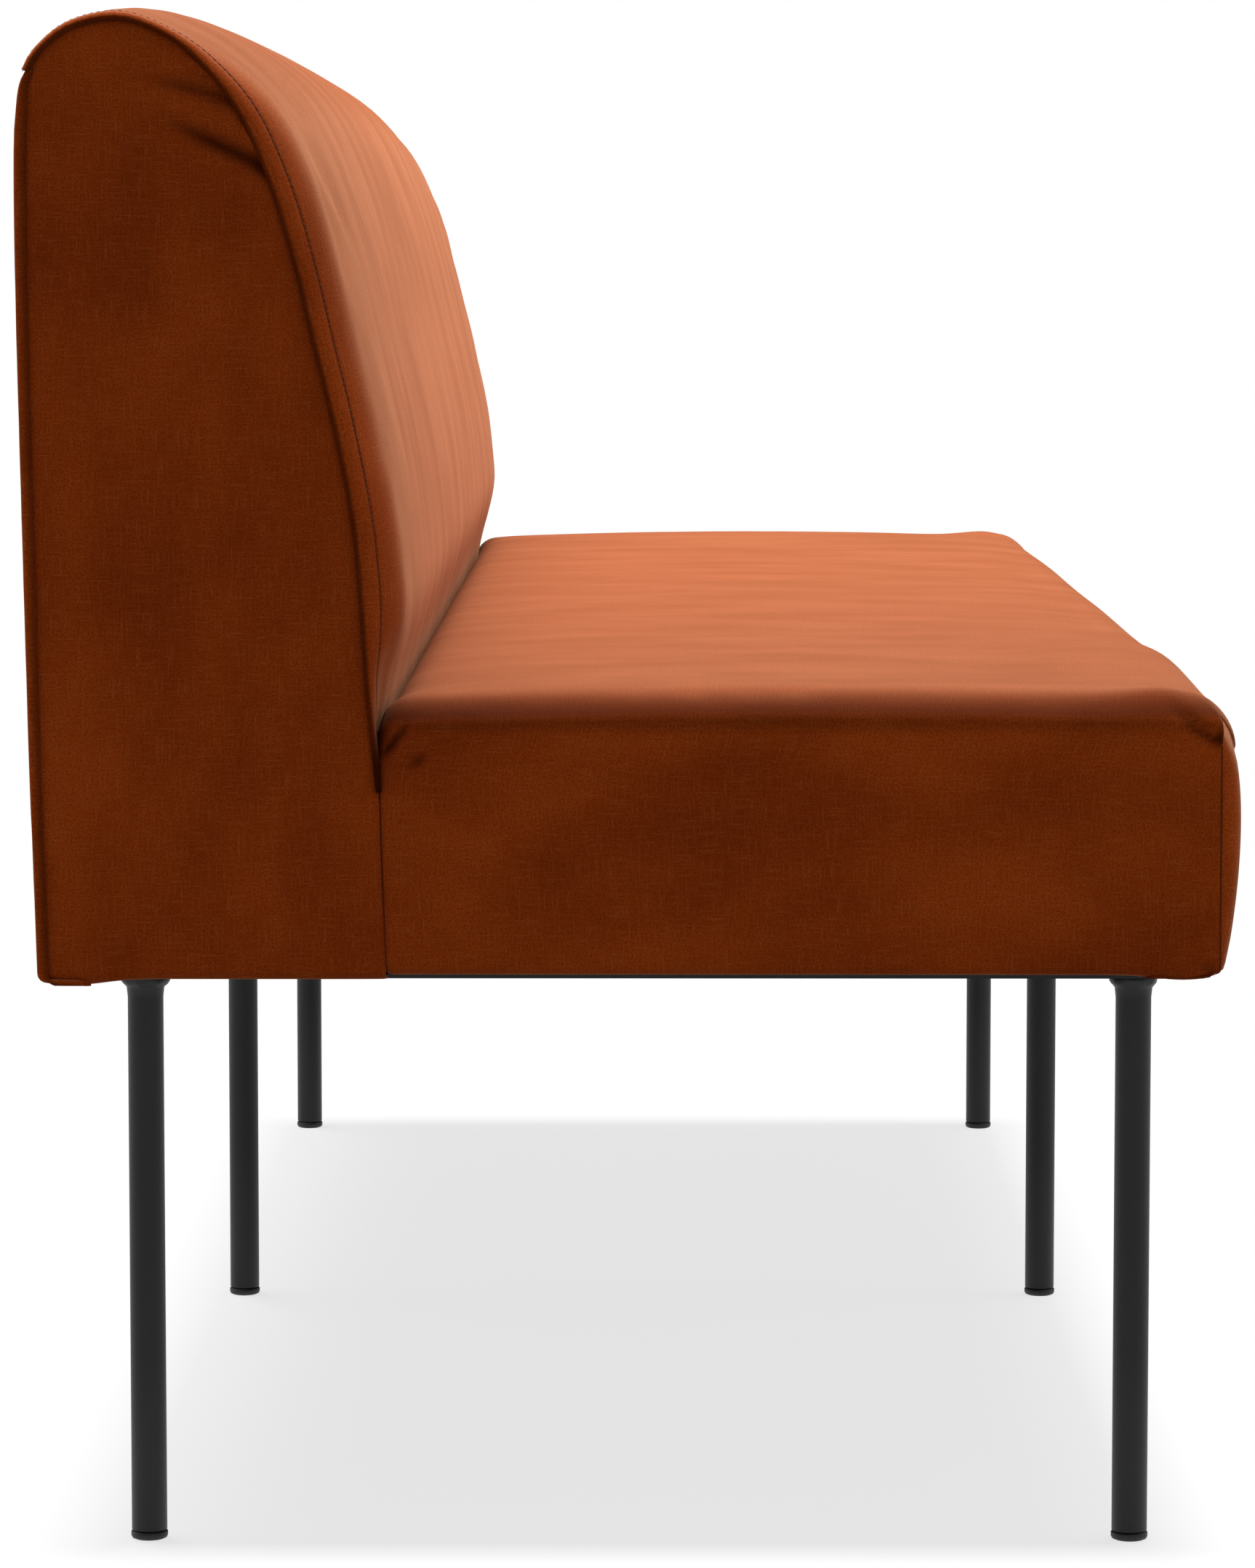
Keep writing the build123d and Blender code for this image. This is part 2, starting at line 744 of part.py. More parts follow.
# Foot glides pushed into the six tube ends
with BuildPart() as glide:
    with BuildSketch(Plane.XZ):
        with BuildLine():
            Polyline(
                (0, 0),
                (leg_radius - glide_chamfer, 0),
                (leg_radius, glide_chamfer),
                (leg_radius, glide_height),
                (plug_radius, glide_height),
                (plug_radius, glide_height + glide_plug_length),
                (0, glide_height + glide_plug_length),
                close=True,
            )
        make_face()
    revolve(axis=Axis.Z)

with BuildPart() as foot_glides:
    with Locations(*[(x, y) for x in leg_x.values() for y in leg_y.values()]):
        add(glide.part)
save(foot_glides.part, "foot_glides")
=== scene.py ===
from math import acos, cos, exp, pi, radians, sin, sqrt

import bmesh
import bpy
from mathutils import Matrix, Vector, noise


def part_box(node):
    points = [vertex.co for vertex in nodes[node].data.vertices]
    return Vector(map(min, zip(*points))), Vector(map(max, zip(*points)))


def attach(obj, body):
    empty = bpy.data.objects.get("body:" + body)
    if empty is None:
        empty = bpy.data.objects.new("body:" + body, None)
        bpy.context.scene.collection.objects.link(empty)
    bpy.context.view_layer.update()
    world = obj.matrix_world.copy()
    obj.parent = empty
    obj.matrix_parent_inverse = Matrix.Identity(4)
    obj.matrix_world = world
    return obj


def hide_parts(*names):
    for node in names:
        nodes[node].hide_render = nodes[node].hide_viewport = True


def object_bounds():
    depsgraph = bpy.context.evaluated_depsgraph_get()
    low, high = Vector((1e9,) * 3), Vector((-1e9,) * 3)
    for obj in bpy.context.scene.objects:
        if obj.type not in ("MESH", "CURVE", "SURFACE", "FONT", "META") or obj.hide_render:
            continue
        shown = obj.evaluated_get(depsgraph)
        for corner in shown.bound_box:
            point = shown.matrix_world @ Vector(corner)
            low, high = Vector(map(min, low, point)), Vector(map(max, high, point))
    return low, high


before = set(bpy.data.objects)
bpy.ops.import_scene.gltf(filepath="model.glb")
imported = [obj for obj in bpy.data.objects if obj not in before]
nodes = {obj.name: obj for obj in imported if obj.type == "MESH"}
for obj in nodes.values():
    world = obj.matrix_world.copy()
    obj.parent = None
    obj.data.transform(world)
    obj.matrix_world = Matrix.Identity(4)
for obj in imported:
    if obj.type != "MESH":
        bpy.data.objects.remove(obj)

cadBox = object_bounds()
scene = bpy.context.scene

endX = cadBox[1][0]  # half the bench's length
frontY = cadBox[0][1]
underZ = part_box("seat_cover")[0][2]  # lowest face of the covers
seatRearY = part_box("seat_cover")[1][1]
fabric = 0.0015  # thickness of the velvet
print("frame loaded:", len(nodes), "nodes")


# Small helpers

def mixed(a, b, t):
    return a + (b - a) * t


def eased(x, low, high):
    t = min(max((x - low) / (high - low), 0.0), 1.0)
    return t * t * (3 - 2 * t)


def smoothLine(points, perSpan=20):
    # curve through a few points, with its running length
    ends = [Vector(p) for p in points]
    ends = [2 * ends[0] - ends[1], *ends, 2 * ends[-1] - ends[-2]]
    line = []
    for p0, p1, p2, p3 in zip(ends, ends[1:], ends[2:], ends[3:]):
        for step in range(perSpan):
            t = step / perSpan
            bend = (2 * p0 - 5 * p1 + 4 * p2 - p3) * t * t + (3 * (p1 - p2) + p3 - p0) * t ** 3
            line.append(p1 + 0.5 * ((p2 - p0) * t + bend))
    line.append(ends[-2])
    lengths = [0.0]
    for a, b in zip(line, line[1:]):
        lengths.append(lengths[-1] + (b - a).length)
    return line, lengths


def pointOn(curve, distance):
    line, lengths = curve
    distance = min(max(distance, 0.0), lengths[-1])
    low, high = 0, len(lengths) - 1
    while high - low > 1:
        middle = (low + high) // 2
        if lengths[middle] <= distance:
            low = middle
        else:
            high = middle
    share = (distance - lengths[low]) / max(lengths[high] - lengths[low], 1e-9)
    return line[low].lerp(line[high], share)


def normalOn(curve, distance, reach=0.004):
    # to the left of the running direction
    along = pointOn(curve, distance + reach) - pointOn(curve, distance - reach)
    return Vector((-along.y, along.x)).normalized()


def rollUnder(distance, radius):
    # how far in and down a cover has turned after running this far round its lower edge
    angle = min(max(distance, 0.0) / radius, pi / 2)
    flat = max(distance - radius * pi / 2, 0.0)
    return radius * (1 - cos(angle)) + flat, radius * sin(angle)


def steps(start, end, size):
    count = max(round(abs(end - start) / size), 1)
    return [mixed(start, end, i / count) for i in range(count)]


def evenly(length, count):
    return [length * i / count for i in range(count + 1)]


def fromBothEnds(near, half, size):
    # places along a side: set distances near each end, even steps between
    left = [*near, *steps(near[-1], half, size)[1:]]
    return left + [half] + [2 * half - d for d in reversed(left)]


def joinedName(words):
    # turns black_plastic into blackPlastic
    first, *rest = words.split("_")
    return first + "".join(word.title() for word in rest)


def finishPiece(name, bm, material, slotName, *replaced):
    mesh = bpy.data.meshes.new(name)
    bm.to_mesh(mesh)
    bm.free()
    mesh.polygons.foreach_set("use_smooth", [True] * len(mesh.polygons))
    piece = bpy.data.objects.new(name, mesh)
    scene.collection.objects.link(piece)
    mesh.materials.append(material)
    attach(piece, "root")
    if replaced:
        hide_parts(*replaced)
    return piece


# Padded covers

padding = {"pressure": 4.0, "frames": 20, "spare": 0.004, "pointMass": 0.03, "quality": 5}


def clothGrid(us, vs, place, paintedShade=None):
    # a grid of cloth laid on its form; its UV map is in metres along the threads
    bm = bmesh.new()
    bmesh.ops.create_grid(bm, x_segments=len(us) - 1, y_segments=len(vs) - 1, size=1.0)
    weave = bm.loops.layers.uv.new("weave")
    pile = bm.verts.layers.float.new("paintedShade")  # painted shade: 1 where the colour is darkened and the sheen taken off, in folds, seams, the crease and over the seat's end rolls
    threads = {}
    for vert in bm.verts:
        i = round((vert.co.x + 1) / 2 * (len(us) - 1))
        j = round((vert.co.y + 1) / 2 * (len(vs) - 1))
        spot, threads[vert] = place(us[i], vs[j])
        vert.co = spot
        vert[pile] = paintedShade(us[i], vs[j]) if paintedShade else 0.0
    for face in bm.faces:
        for loop in face.loops:
            loop[weave].uv = threads[loop.vert]
    return bm


def turnOutwards(bm, core):
    # the cloth's right side is to face away from core, a place inside the padding
    bm.normal_update()
    facing = sum((face.calc_center_median() - core).dot(face.normal) * face.calc_area() for face in bm.faces)
    if facing < 0:
        bmesh.ops.reverse_faces(bm, faces=bm.faces)
        bm.normal_update()
    return -1 if facing < 0 else 1


def plump(name, us, vs, place, core, cap):
    # presses the cloth out against its seams; gives the swelling at any place on the grid
    bm = clothGrid(us, vs, place)
    outwards = turnOutwards(bm, core)
    bm.verts.index_update()
    rest = [(vert.co.copy(), vert.normal.copy()) for vert in bm.verts]
    edge = [vert.index for vert in bm.verts if vert.is_boundary]
    mesh = bpy.data.meshes.new(name)
    bm.to_mesh(mesh)
    bm.free()
    pad = bpy.data.objects.new(name, mesh)
    scene.collection.objects.link(pad)
    pad.vertex_groups.new(name="seams").add(edge, 1.0, "REPLACE")
    cloth = pad.modifiers.new("Cloth", "CLOTH")
    cloth.settings.vertex_group_mass = "seams"
    cloth.settings.use_pressure = True
    cloth.settings.uniform_pressure_force = padding["pressure"]
    cloth.settings.shrink_min = -padding["spare"]
    cloth.settings.effector_weights.gravity = 0
    cloth.settings.quality = padding["quality"]
    cloth.settings.mass = padding["pointMass"]
    cloth.collision_settings.use_collision = False
    cloth.point_cache.frame_end = padding["frames"]
    for step in range(1, padding["frames"] + 1):
        scene.frame_set(step)
    swollen = pad.evaluated_get(bpy.context.evaluated_depsgraph_get()).data
    columns = len(us)
    swelling = []
    for vert, (spot, normal) in zip(swollen.vertices, rest):
        out = max((vert.co - spot).dot(normal), 0.0)
        swelling.append(outwards * cap * out / (cap + out))
    bpy.data.objects.remove(pad)
    scene.frame_set(1)
    middle = 1000 * sum(map(abs, swelling)) / len(swelling)
    print("padded %s by %.1f mm, at most %.1f" % (name, middle, 1000 * max(map(abs, swelling))))

    def spline(values, t):
        a, b, c, d = values
        return b + 0.5 * t * (c - a + t * (2 * a - 5 * b + 4 * c - d + t * (3 * (b - c) + d - a)))

    def locate(places, x):
        i = 0
        while i < len(places) - 2 and places[i + 1] <= x:
            i += 1
        return i, min(max((x - places[i]) / (places[i + 1] - places[i]), 0.0), 1.0)

    def swellingAt(u, v):
        i, s = locate(us, u)
        j, t = locate(vs, v)
        rows = []
        for row in range(j - 1, j + 3):
            row = min(max(row, 0), len(vs) - 1)
            cells = [min(max(i + k, 0), columns - 1) for k in range(-1, 3)]
            rows.append(spline([swelling[row * columns + cell] for cell in cells], s))
        return spline(rows, t)

    return swellingAt


def raised(place, swellingAt):
    # the same form, standing out by its swelling
    def standOut(u, v):
        spot, thread = place(u, v)
        small = 0.0004
        across = place(u + small, v)[0] - place(u - small, v)[0]
        up = place(u, v + small)[0] - place(u, v - small)[0]
        normal = across.cross(up)
        if normal.length < 1e-12:
            return spot, thread
        return spot + normal.normalized() * swellingAt(u, v), thread
    return standOut


def coverPiece(name, us, vs, place, paintedShade, core, fill, *replaced):
    bm = clothGrid(us, vs, place, paintedShade)
    turnOutwards(bm, core)
    cover = finishPiece(name, bm, velvet, "velvet", *replaced)
    shell = cover.modifiers.new("Cloth thickness", "SOLIDIFY")
    shell.thickness = fabric
    shell.offset = -1


foldForm = {
    "grow": (-0.2, 0.5), "stop": (1.0, 1.2),  # shares of the fold's run
    "ridge": 0.6, "ridgeOff": 2.2, "ridgeWidth": 1.6,  # in depths and widths of the groove
}


def crease(y, z, fold):
    # a fold that gets deeper towards its end, with a soft ridge above it; gives its groove, which also sets
    # the shade painted into it, and its height
    run = Vector(fold["end"]) - Vector(fold["start"])
    off = Vector((y, z)) - Vector(fold["start"])
    t = off.dot(run) / run.length_squared
    across = (off.x * run.y - off.y * run.x) / run.length / fold["width"]
    fade = eased(t, *foldForm["grow"]) * (1 - eased(t, *foldForm["stop"]))
    groove = fade * exp(-across ** 2)
    ridge = fade * foldForm["ridge"] * exp(-((across - foldForm["ridgeOff"]) / foldForm["ridgeWidth"]) ** 2)
    return groove, fold["depth"] * (ridge - groove)


def foldHeight(y, z, folds):
    return sum(crease(y, z, fold)[1] for fold in folds)


# painted shade in the folds' grooves, as strong as each fold's dark share
def foldPaintedShade(y, z, folds):
    return min(sum(crease(y, z, fold)[0] * fold["dark"] for fold in folds), 1.0)


# Materials

def newMaterial(name):
    material = bpy.data.materials.new(name)
    material.use_nodes = True
    return material, material.node_tree, material.node_tree.nodes["Principled BSDF"]


def addNode(tree, kind, inputs=(), **settings):
    made = tree.nodes.new(kind)
    for key, value in settings.items():
        setattr(made, key, value)
    for key, value in dict(inputs).items():
        if isinstance(value, bpy.types.NodeSocket):
            tree.links.new(value, made.inputs[key])
        else:
            made.inputs[key].default_value = value
    return made


def groupWith(name, setting, value, outputs):
    # a node group that takes a place and one setting, and puts out values
    tree = bpy.data.node_groups.new(name, "ShaderNodeTree")
    tree.interface.new_socket("Vector", in_out="INPUT", socket_type="NodeSocketVector")
    socket = tree.interface.new_socket(setting, in_out="INPUT", socket_type="NodeSocketFloat")
    socket.default_value = value
    for label in outputs:
        tree.interface.new_socket(label, in_out="OUTPUT", socket_type="NodeSocketFloat")
    return tree, tree.nodes.new("NodeGroupInput"), tree.nodes.new("NodeGroupOutput")


def ranged(tree, value, low, high, toLow=0.0, toHigh=1.0):
    spread = {"Value": value, "From Min": low, "From Max": high, "To Min": toLow, "To Max": toHigh}
    return addNode(tree, "ShaderNodeMapRange", spread).outputs["Result"]


def calc(tree, operation, a, b):
    return addNode(tree, "ShaderNodeMath", {0: a, 1: b}, operation=operation).outputs[0]


def mixColours(tree, share, a, b):
    mix = addNode(tree, "ShaderNodeMix", data_type="RGBA", inputs={"Factor": share, "A": a, "B": b})
    return mix.outputs[2]


def stretchedNoise(tree, vector, scale, detail, stretch):
    moved = addNode(tree, "ShaderNodeMapping", {"Vector": vector, "Scale": stretch})
    made = addNode(tree, "ShaderNodeTexNoise", {"Vector": moved.outputs[0], "Scale": scale, "Detail": detail})
    return made.outputs[0]


even = (1, 1, 1)
weaveLook = {"threads": 1000.0, "slub": 0.06, "detail": 3, "shown": (0.50, 0.78)}


def makeSlubWeave():
    tree, given, out = groupWith("slubWeave", "Threads", weaveLook["threads"], ["Threads", "Height"])
    place, threads = given.outputs["Vector"], given.outputs["Threads"]
    warp = stretchedNoise(tree, place, threads, weaveLook["detail"], (1, weaveLook["slub"], 1))
    weft = stretchedNoise(tree, place, threads, weaveLook["detail"], (weaveLook["slub"], 1, 1))
    lines = calc(tree, "MAXIMUM", warp, weft)
    tree.links.new(ranged(tree, lines, *weaveLook["shown"]), out.inputs["Threads"])
    tree.links.new(lines, out.inputs["Height"])
    return tree


pileLook = {
    "scale": 14.0, "detail": 6, "lean": (1, 0.55, 1), "shown": (0.36, 0.66),
    "grain": 900.0, "grainDetail": 2,
}


def cloudMask(tree, place, scale):
    # 1 where the pile leans towards the light
    cloud = stretchedNoise(tree, place, scale, pileLook["detail"], pileLook["lean"])
    return ranged(tree, cloud, *pileLook["shown"])


def makePileClouds():
    tree, given, out = groupWith("pileClouds", "Scale", pileLook["scale"], ["Cloud", "Grain"])
    place = given.outputs["Vector"]
    grain = stretchedNoise(tree, place, pileLook["grain"], pileLook["grainDetail"], even)
    tree.links.new(cloudMask(tree, place, given.outputs["Scale"]), out.inputs["Cloud"])
    tree.links.new(grain, out.inputs["Grain"])
    return tree


velvetLook = {
    "shade": (0.315, 0.042, 0.0030, 1), "body": (0.490, 0.075, 0.0066, 1),
    "paintedSheenDark": (0.415, 0.116, 0.045, 1), "bloom": (0.505, 0.148, 0.061, 1),
    "paintedSheenFrom": 0.46, "paintedSheenFull": 0.97,  # painted sheen: the colour turns paler where the cloth is seen edge-on, as along the pile
    "thread": (0.620, 0.160, 0.0380, 1), "threadShare": 0.38,
    "speck": (0.120, 0.014, 0.0012, 1), "speckShare": 0.46, "speckGrain": (0.34, 0.60),
    # near-black painted shade for folds, seams and the crease
    "paintedShade": (0.055, 0.009, 0.0012, 1),
    "sheenTint": (1.0, 0.52, 0.29, 1), "sheen": 0.50, "flatSheen": 0.38, "sheenRoughness": 0.38,
    "roughness": 0.85, "specular": 0.02, "bump": 0.35, "bumpHeight": 0.0006,
}


def makeVelvet():
    look = velvetLook
    material, tree, shader = newMaterial("rustVelvet")
    thread = addNode(tree, "ShaderNodeUVMap", uv_map="weave").outputs[0]
    weave = addNode(tree, "ShaderNodeGroup", {"Vector": thread}, node_tree=slubWeave)
    clouds = addNode(tree, "ShaderNodeGroup", {"Vector": thread}, node_tree=pileClouds)
    cloud, grain = clouds.outputs["Cloud"], clouds.outputs["Grain"]
    # painted sheen: a paler colour mixed in where the surface is seen at a grazing angle
    facing = addNode(tree, "ShaderNodeLayerWeight", {"Blend": 0.5}).outputs["Facing"]
    turned = {"Value": facing, "From Min": look["paintedSheenFrom"], "From Max": look["paintedSheenFull"]}
    bloom = addNode(tree, "ShaderNodeMapRange", turned, interpolation_type="SMOOTHSTEP").outputs["Result"]
    base = mixColours(tree, cloud, look["shade"], look["body"])
    paintedSheenColour = mixColours(tree, cloud, look["paintedSheenDark"], look["bloom"])
    base = mixColours(tree, bloom, base, paintedSheenColour)
    shown = calc(tree, "MULTIPLY", weave.outputs["Threads"], look["threadShare"])
    base = mixColours(tree, shown, base, look["thread"])
    speck = ranged(tree, grain, *look["speckGrain"], look["speckShare"], 0.0)
    base = mixColours(tree, speck, base, look["speck"])
    # painted shade: where the cover's shade attribute is set, the colour goes near black and the sheen is
    # taken off
    paintedShade = addNode(tree, "ShaderNodeAttribute", attribute_name="paintedShade").outputs["Fac"]
    tree.links.new(mixColours(tree, paintedShade, base, look["paintedShade"]), shader.inputs["Base Color"])
    lean = cloudMask(tree, thread, pileLook["scale"])  # made here, since no group feeds the sheen
    lie = ranged(tree, lean, 0, 1, look["flatSheen"], look["sheen"])
    unshadedShare = ranged(tree, paintedShade, 0, 1, 1.0, 0.0)
    tree.links.new(calc(tree, "MULTIPLY", lie, unshadedShare), shader.inputs["Sheen Weight"])
    shader.inputs["Roughness"].default_value = look["roughness"]
    shader.inputs["Specular IOR Level"].default_value = look["specular"]
    shader.inputs["Sheen Roughness"].default_value = look["sheenRoughness"]
    shader.inputs["Sheen Tint"].default_value = look["sheenTint"]
    pile = calc(tree, "ADD", weave.outputs["Height"], grain)
    bumped = {"Height": pile, "Strength": look["bump"], "Distance": look["bumpHeight"]}
    tree.links.new(addNode(tree, "ShaderNodeBump", bumped).outputs[0], shader.inputs["Normal"])
    return material


fleckLook = {
    "scale": 500.0, "detail": 6, "fineTimes": 7.0, "fineDetail": 3, "fineShare": 0.5, "tone": (0.5, 1.0),
    "fineRange": (0.3, 0.7), "smoother": 0.06, "rougher": 0.08, "bump": 0.3,
}


def makeFleckedGrain():
    tree, given, out = groupWith("fleckedGrain", "Scale", fleckLook["scale"], ["Tone", "Fine"])
    place, scale = given.outputs["Vector"], given.outputs["Scale"]
    fleck = stretchedNoise(tree, place, scale, fleckLook["detail"], even)
    fineScale = calc(tree, "MULTIPLY", scale, fleckLook["fineTimes"])
    fine = stretchedNoise(tree, place, fineScale, fleckLook["fineDetail"], even)
    both = calc(tree, "ADD", fleck, calc(tree, "MULTIPLY", fine, fleckLook["fineShare"]))
    tree.links.new(ranged(tree, both, *fleckLook["tone"]), out.inputs["Tone"])
    tree.links.new(fine, out.inputs["Fine"])
    return tree


def makeFlecked(name, look):
    # plain finishes that differ in colours, grain and gloss
    material, tree, shader = newMaterial(name)
    place = addNode(tree, "ShaderNodeTexCoord").outputs["Object"]
    along = addNode(tree, "ShaderNodeMapping", {"Vector": place, "Scale": look.get("stretch", even)})
    given = {"Vector": along.outputs[0], "Scale": look["grain"]}
    grain = addNode(tree, "ShaderNodeGroup", given, node_tree=fleckedGrain)
    tone, fine = grain.outputs["Tone"], grain.outputs["Fine"]
    colour = mixColours(tree, tone, (*look["dark"], 1), (*look["light"], 1))
    tree.links.new(colour, shader.inputs["Base Color"])
    smooth, rough = look["rough"] - fleckLook["smoother"], look["rough"] + fleckLook["rougher"]
    tree.links.new(ranged(tree, fine, *fleckLook["fineRange"], smooth, rough), shader.inputs["Roughness"])
    shader.inputs["Metallic"].default_value = look.get("metallic", 0.0)
    shader.inputs["Specular IOR Level"].default_value = look.get("gloss", 0.5)
    bumped = {"Height": fine, "Strength": fleckLook["bump"], "Distance": look["bump"]}
    tree.links.new(addNode(tree, "ShaderNodeBump", bumped).outputs[0], shader.inputs["Normal"])
    return material


finishLooks = {
    "black_powder_coat": {
        "dark": (0.0042, 0.0046, 0.0056), "light": (0.0090, 0.0096, 0.0115), "grain": 900,
        "rough": 0.45, "bump": 0.0002, "gloss": 0.34,
    },
    "black_plastic": {
        "dark": (0.006, 0.006, 0.007), "light": (0.012, 0.012, 0.013), "grain": 500,
        "rough": 0.5, "bump": 0.0002,
    },
    "dust_cloth": {
        "dark": (0.008, 0.008, 0.009), "light": (0.030, 0.030, 0.032), "grain": 420, "stretch": (1, 0.5, 1),
        "rough": 0.95, "bump": 0.0004,
    },
    "stitch_thread": {
        "dark": (0.10, 0.022, 0.006), "light": (0.20, 0.050, 0.015), "grain": 900,
        "rough": 0.8, "bump": 0.0002,
    },
    "pine": {
        "dark": (0.42, 0.25, 0.11), "light": (0.66, 0.46, 0.24), "grain": 30, "stretch": (0.06, 1, 1),
        "rough": 0.7, "bump": 0.0003,
    },
    "plywood": {
        "dark": (0.40, 0.27, 0.14), "light": (0.60, 0.45, 0.26), "grain": 60, "stretch": (1, 1, 0.1),
        "rough": 0.7, "bump": 0.0003,
    },
    "hardboard": {
        "dark": (0.14, 0.075, 0.035), "light": (0.22, 0.13, 0.06), "grain": 300,
        "rough": 0.75, "bump": 0.0002,
    },
    "foam": {
        "dark": (0.62, 0.55, 0.36), "light": (0.78, 0.72, 0.52), "grain": 700,
        "rough": 0.95, "bump": 0.0006,
    },
    "wadding": {
        "dark": (0.72, 0.72, 0.70), "light": (0.86, 0.86, 0.84), "grain": 160, "stretch": (1, 0.4, 1),
        "rough": 0.95, "bump": 0.001,
    },
    "felt": {
        "dark": (0.20, 0.20, 0.21), "light": (0.42, 0.41, 0.40), "grain": 500,
        "rough": 0.95, "bump": 0.0006,
    },
    "webbing": {
        "dark": (0.05, 0.05, 0.055), "light": (0.12, 0.12, 0.125), "grain": 800, "stretch": (1, 0.2, 1),
        "rough": 0.85, "bump": 0.0004,
    },
    "zinc_steel": {
        "dark": (0.48, 0.48, 0.46), "light": (0.66, 0.66, 0.63), "grain": 250,
        "rough": 0.35, "bump": 0.0001, "metallic": 1.0,
    },
}
slubWeave = makeSlubWeave()
pileClouds = makePileClouds()
fleckedGrain = makeFleckedGrain()
velvet = makeVelvet()
finishes = {slotName: makeFlecked(joinedName(slotName), look) for slotName, look in finishLooks.items()}
finishes["velvet"] = velvet
nodeFinish = {
    "frame_screws": "zinc_steel", "crossbar_bolts": "zinc_steel", "tee_nuts": "zinc_steel",
    "end_former": "plywood", "back_former": "plywood", "rear_board": "hardboard", "corner_blocks": "pine",
    "rail": "pine", "felt": "felt", "webbing": "webbing", "wadding": "wadding", "foam": "foam",
    "caps": "black_plastic", "glides": "black_plastic", "dust_cover": "dust_cloth", "cover": "velvet",
    "crossbar": "black_powder_coat", "leg_": "black_powder_coat",
}  # the first of these words found in a node's name counts
for name, part in nodes.items():
    finish = next(finishes[slotName] for key, slotName in nodeFinish.items() if key in name)
    part.data.materials.clear()
    part.data.materials.append(finish)
print("materials made:", len(bpy.data.materials))


# Back: the front panel runs from the crease over the top to the rear seam

back = {
    "seamLine": [
        (0.1334, 0.4354), (0.1385, 0.4900), (0.1445, 0.5704), (0.1543, 0.6257), (0.1653, 0.6720),
        (0.1763, 0.7180), (0.1884, 0.7580), (0.2055, 0.7974), (0.2290, 0.8270), (0.2505, 0.8415),
        (0.2724, 0.8474), (0.2966, 0.8420), (0.3130, 0.8290), (0.3192, 0.8185),
    ],  # side view of the end seam, upwards
    "roll": 0.0175, "rollReach": 0.040,  # the padding turns out beside the seam
    "topSwell": 0.0150, "topReach": 0.21,  # the top rises slowly away from the ends
    "topFade": 0.06,  # and falls again this far before the rear seam
    "edgeTurn": 0.0026, "edgeReach": 0.0020, "edgeInCrease": 0.4,  # thickness of the turned edge at the seam
    "creaseZ": (0.462, 0.540),  # nothing stands out below, all of it above
    "brow": (0.186, 0.250),  # depths between which the front's swelling hands over to the top's
    "gather": 0.0006, "gatherPitch": 0.0040, "gatherReach": 0.070,  # soft upright folds above the crease
    "gatherFrom": (0.008, 0.020), "gatherTo": (0.12, 0.20), "gatherZ": (0.480, 0.590),
    "weltWidth": 0.0065, "weltRise": 0.0002, "weltEdge": 0.0015,
    "stitchLine": 0.0082, "stitchDip": 0.0002, "dipWidth": 0.0008,
    "lap": 0.004, "lapTurn": 0.001, "lapSink": 0.0017,  # hidden return of the lapped edge
    "hemSink": 0.0022, "hemRise": 0.6, "hemFold": 0.5,  # hidden strip past the rear seam
    "stitchPitch": 0.0036, "stitchLength": 0.0026, "stitchRadius": 0.00042,
    "stitchFrom": 0.004, "stitchTo": 0.006, "stitchLift": 0.4,
    # painted shade along the lapped edge, on the stitch line and up the crease
    "edgePaintedShade": 0.7, "edgeSpan": (-0.0004, 0.0008), "stitchPaintedShade": 0.8,
    "paintedShadeZ": 0.446, "paintedShadeTop": (0.496, 0.480), "paintedShadeTurn": (0.010, 0.040),  # painted shade up the crease above the seat
    "fill": 0.85, "swell": 0.005,
}
backCore = Vector((0, 0.25, 0.60))
seamCurve = smoothLine(back["seamLine"])
seamLength = seamCurve[1][-1]


def backGrowth(d, v):
    spot = pointOn(seamCurve, v)
    above = eased(spot.y, *back["creaseZ"])
    over = eased(spot.x, *back["brow"])
    top = back["topSwell"] * (1 - exp(-d / back["topReach"]))
    top *= 1 - eased(v, seamLength - back["topFade"], seamLength)
    front = back["roll"] * (1 - (1 - min(d / back["rollReach"], 1.0)) ** 2)
    edge = back["edgeTurn"] * (1 - exp(-d / back["edgeReach"])) * mixed(back["edgeInCrease"], 1.0, above)
    gather = sin(d / back["gatherPitch"]) * exp(-d / back["gatherReach"]) * (1 - eased(d, *back["gatherTo"]))
    gather *= eased(d, *back["gatherFrom"]) * (1 - eased(spot.y, *back["gatherZ"]))
    return edge + above * mixed(front, top, over) + back["gather"] * gather


def stitchGroove(d):
    return exp(-((d - back["stitchLine"]) / back["dipWidth"]) ** 2)


def weltHeight(d):
    weltEnd = back["weltWidth"] + back["weltEdge"]
    band = eased(d, 0.0, back["weltEdge"]) * (1 - eased(d, back["weltWidth"], weltEnd))
    return back["weltRise"] * band - back["stitchDip"] * stitchGroove(d)


def placeBackFront(u, v):
    # u runs along the bench from the left end, v up the seam
    right = u > endX
    d = 2 * endX - u if right else u
    tuck = max(-d, 0.0)
    spot = pointOn(seamCurve, v)
    normal = normalOn(seamCurve, v)
    over = max(v - seamLength, 0.0) + max(-v, 0.0)
    lapped = min(over / back["lapTurn"], 1.0)
    out = backGrowth(max(d, 0.0), v) + weltHeight(max(d, 0.0))
    out -= min(tuck / back["lapTurn"], 1.0) * back["lapSink"] + lapped * back["hemSink"]
    spot = spot + normal * out
    if v > seamLength:
        spot.y += back["hemRise"] * over
        spot.x -= back["hemFold"] * over
    inset = abs(d) + lapped * back["lap"] * 2
    x = endX - inset if right else inset - endX
    return Vector((x, spot.x, spot.y)), (u, v)


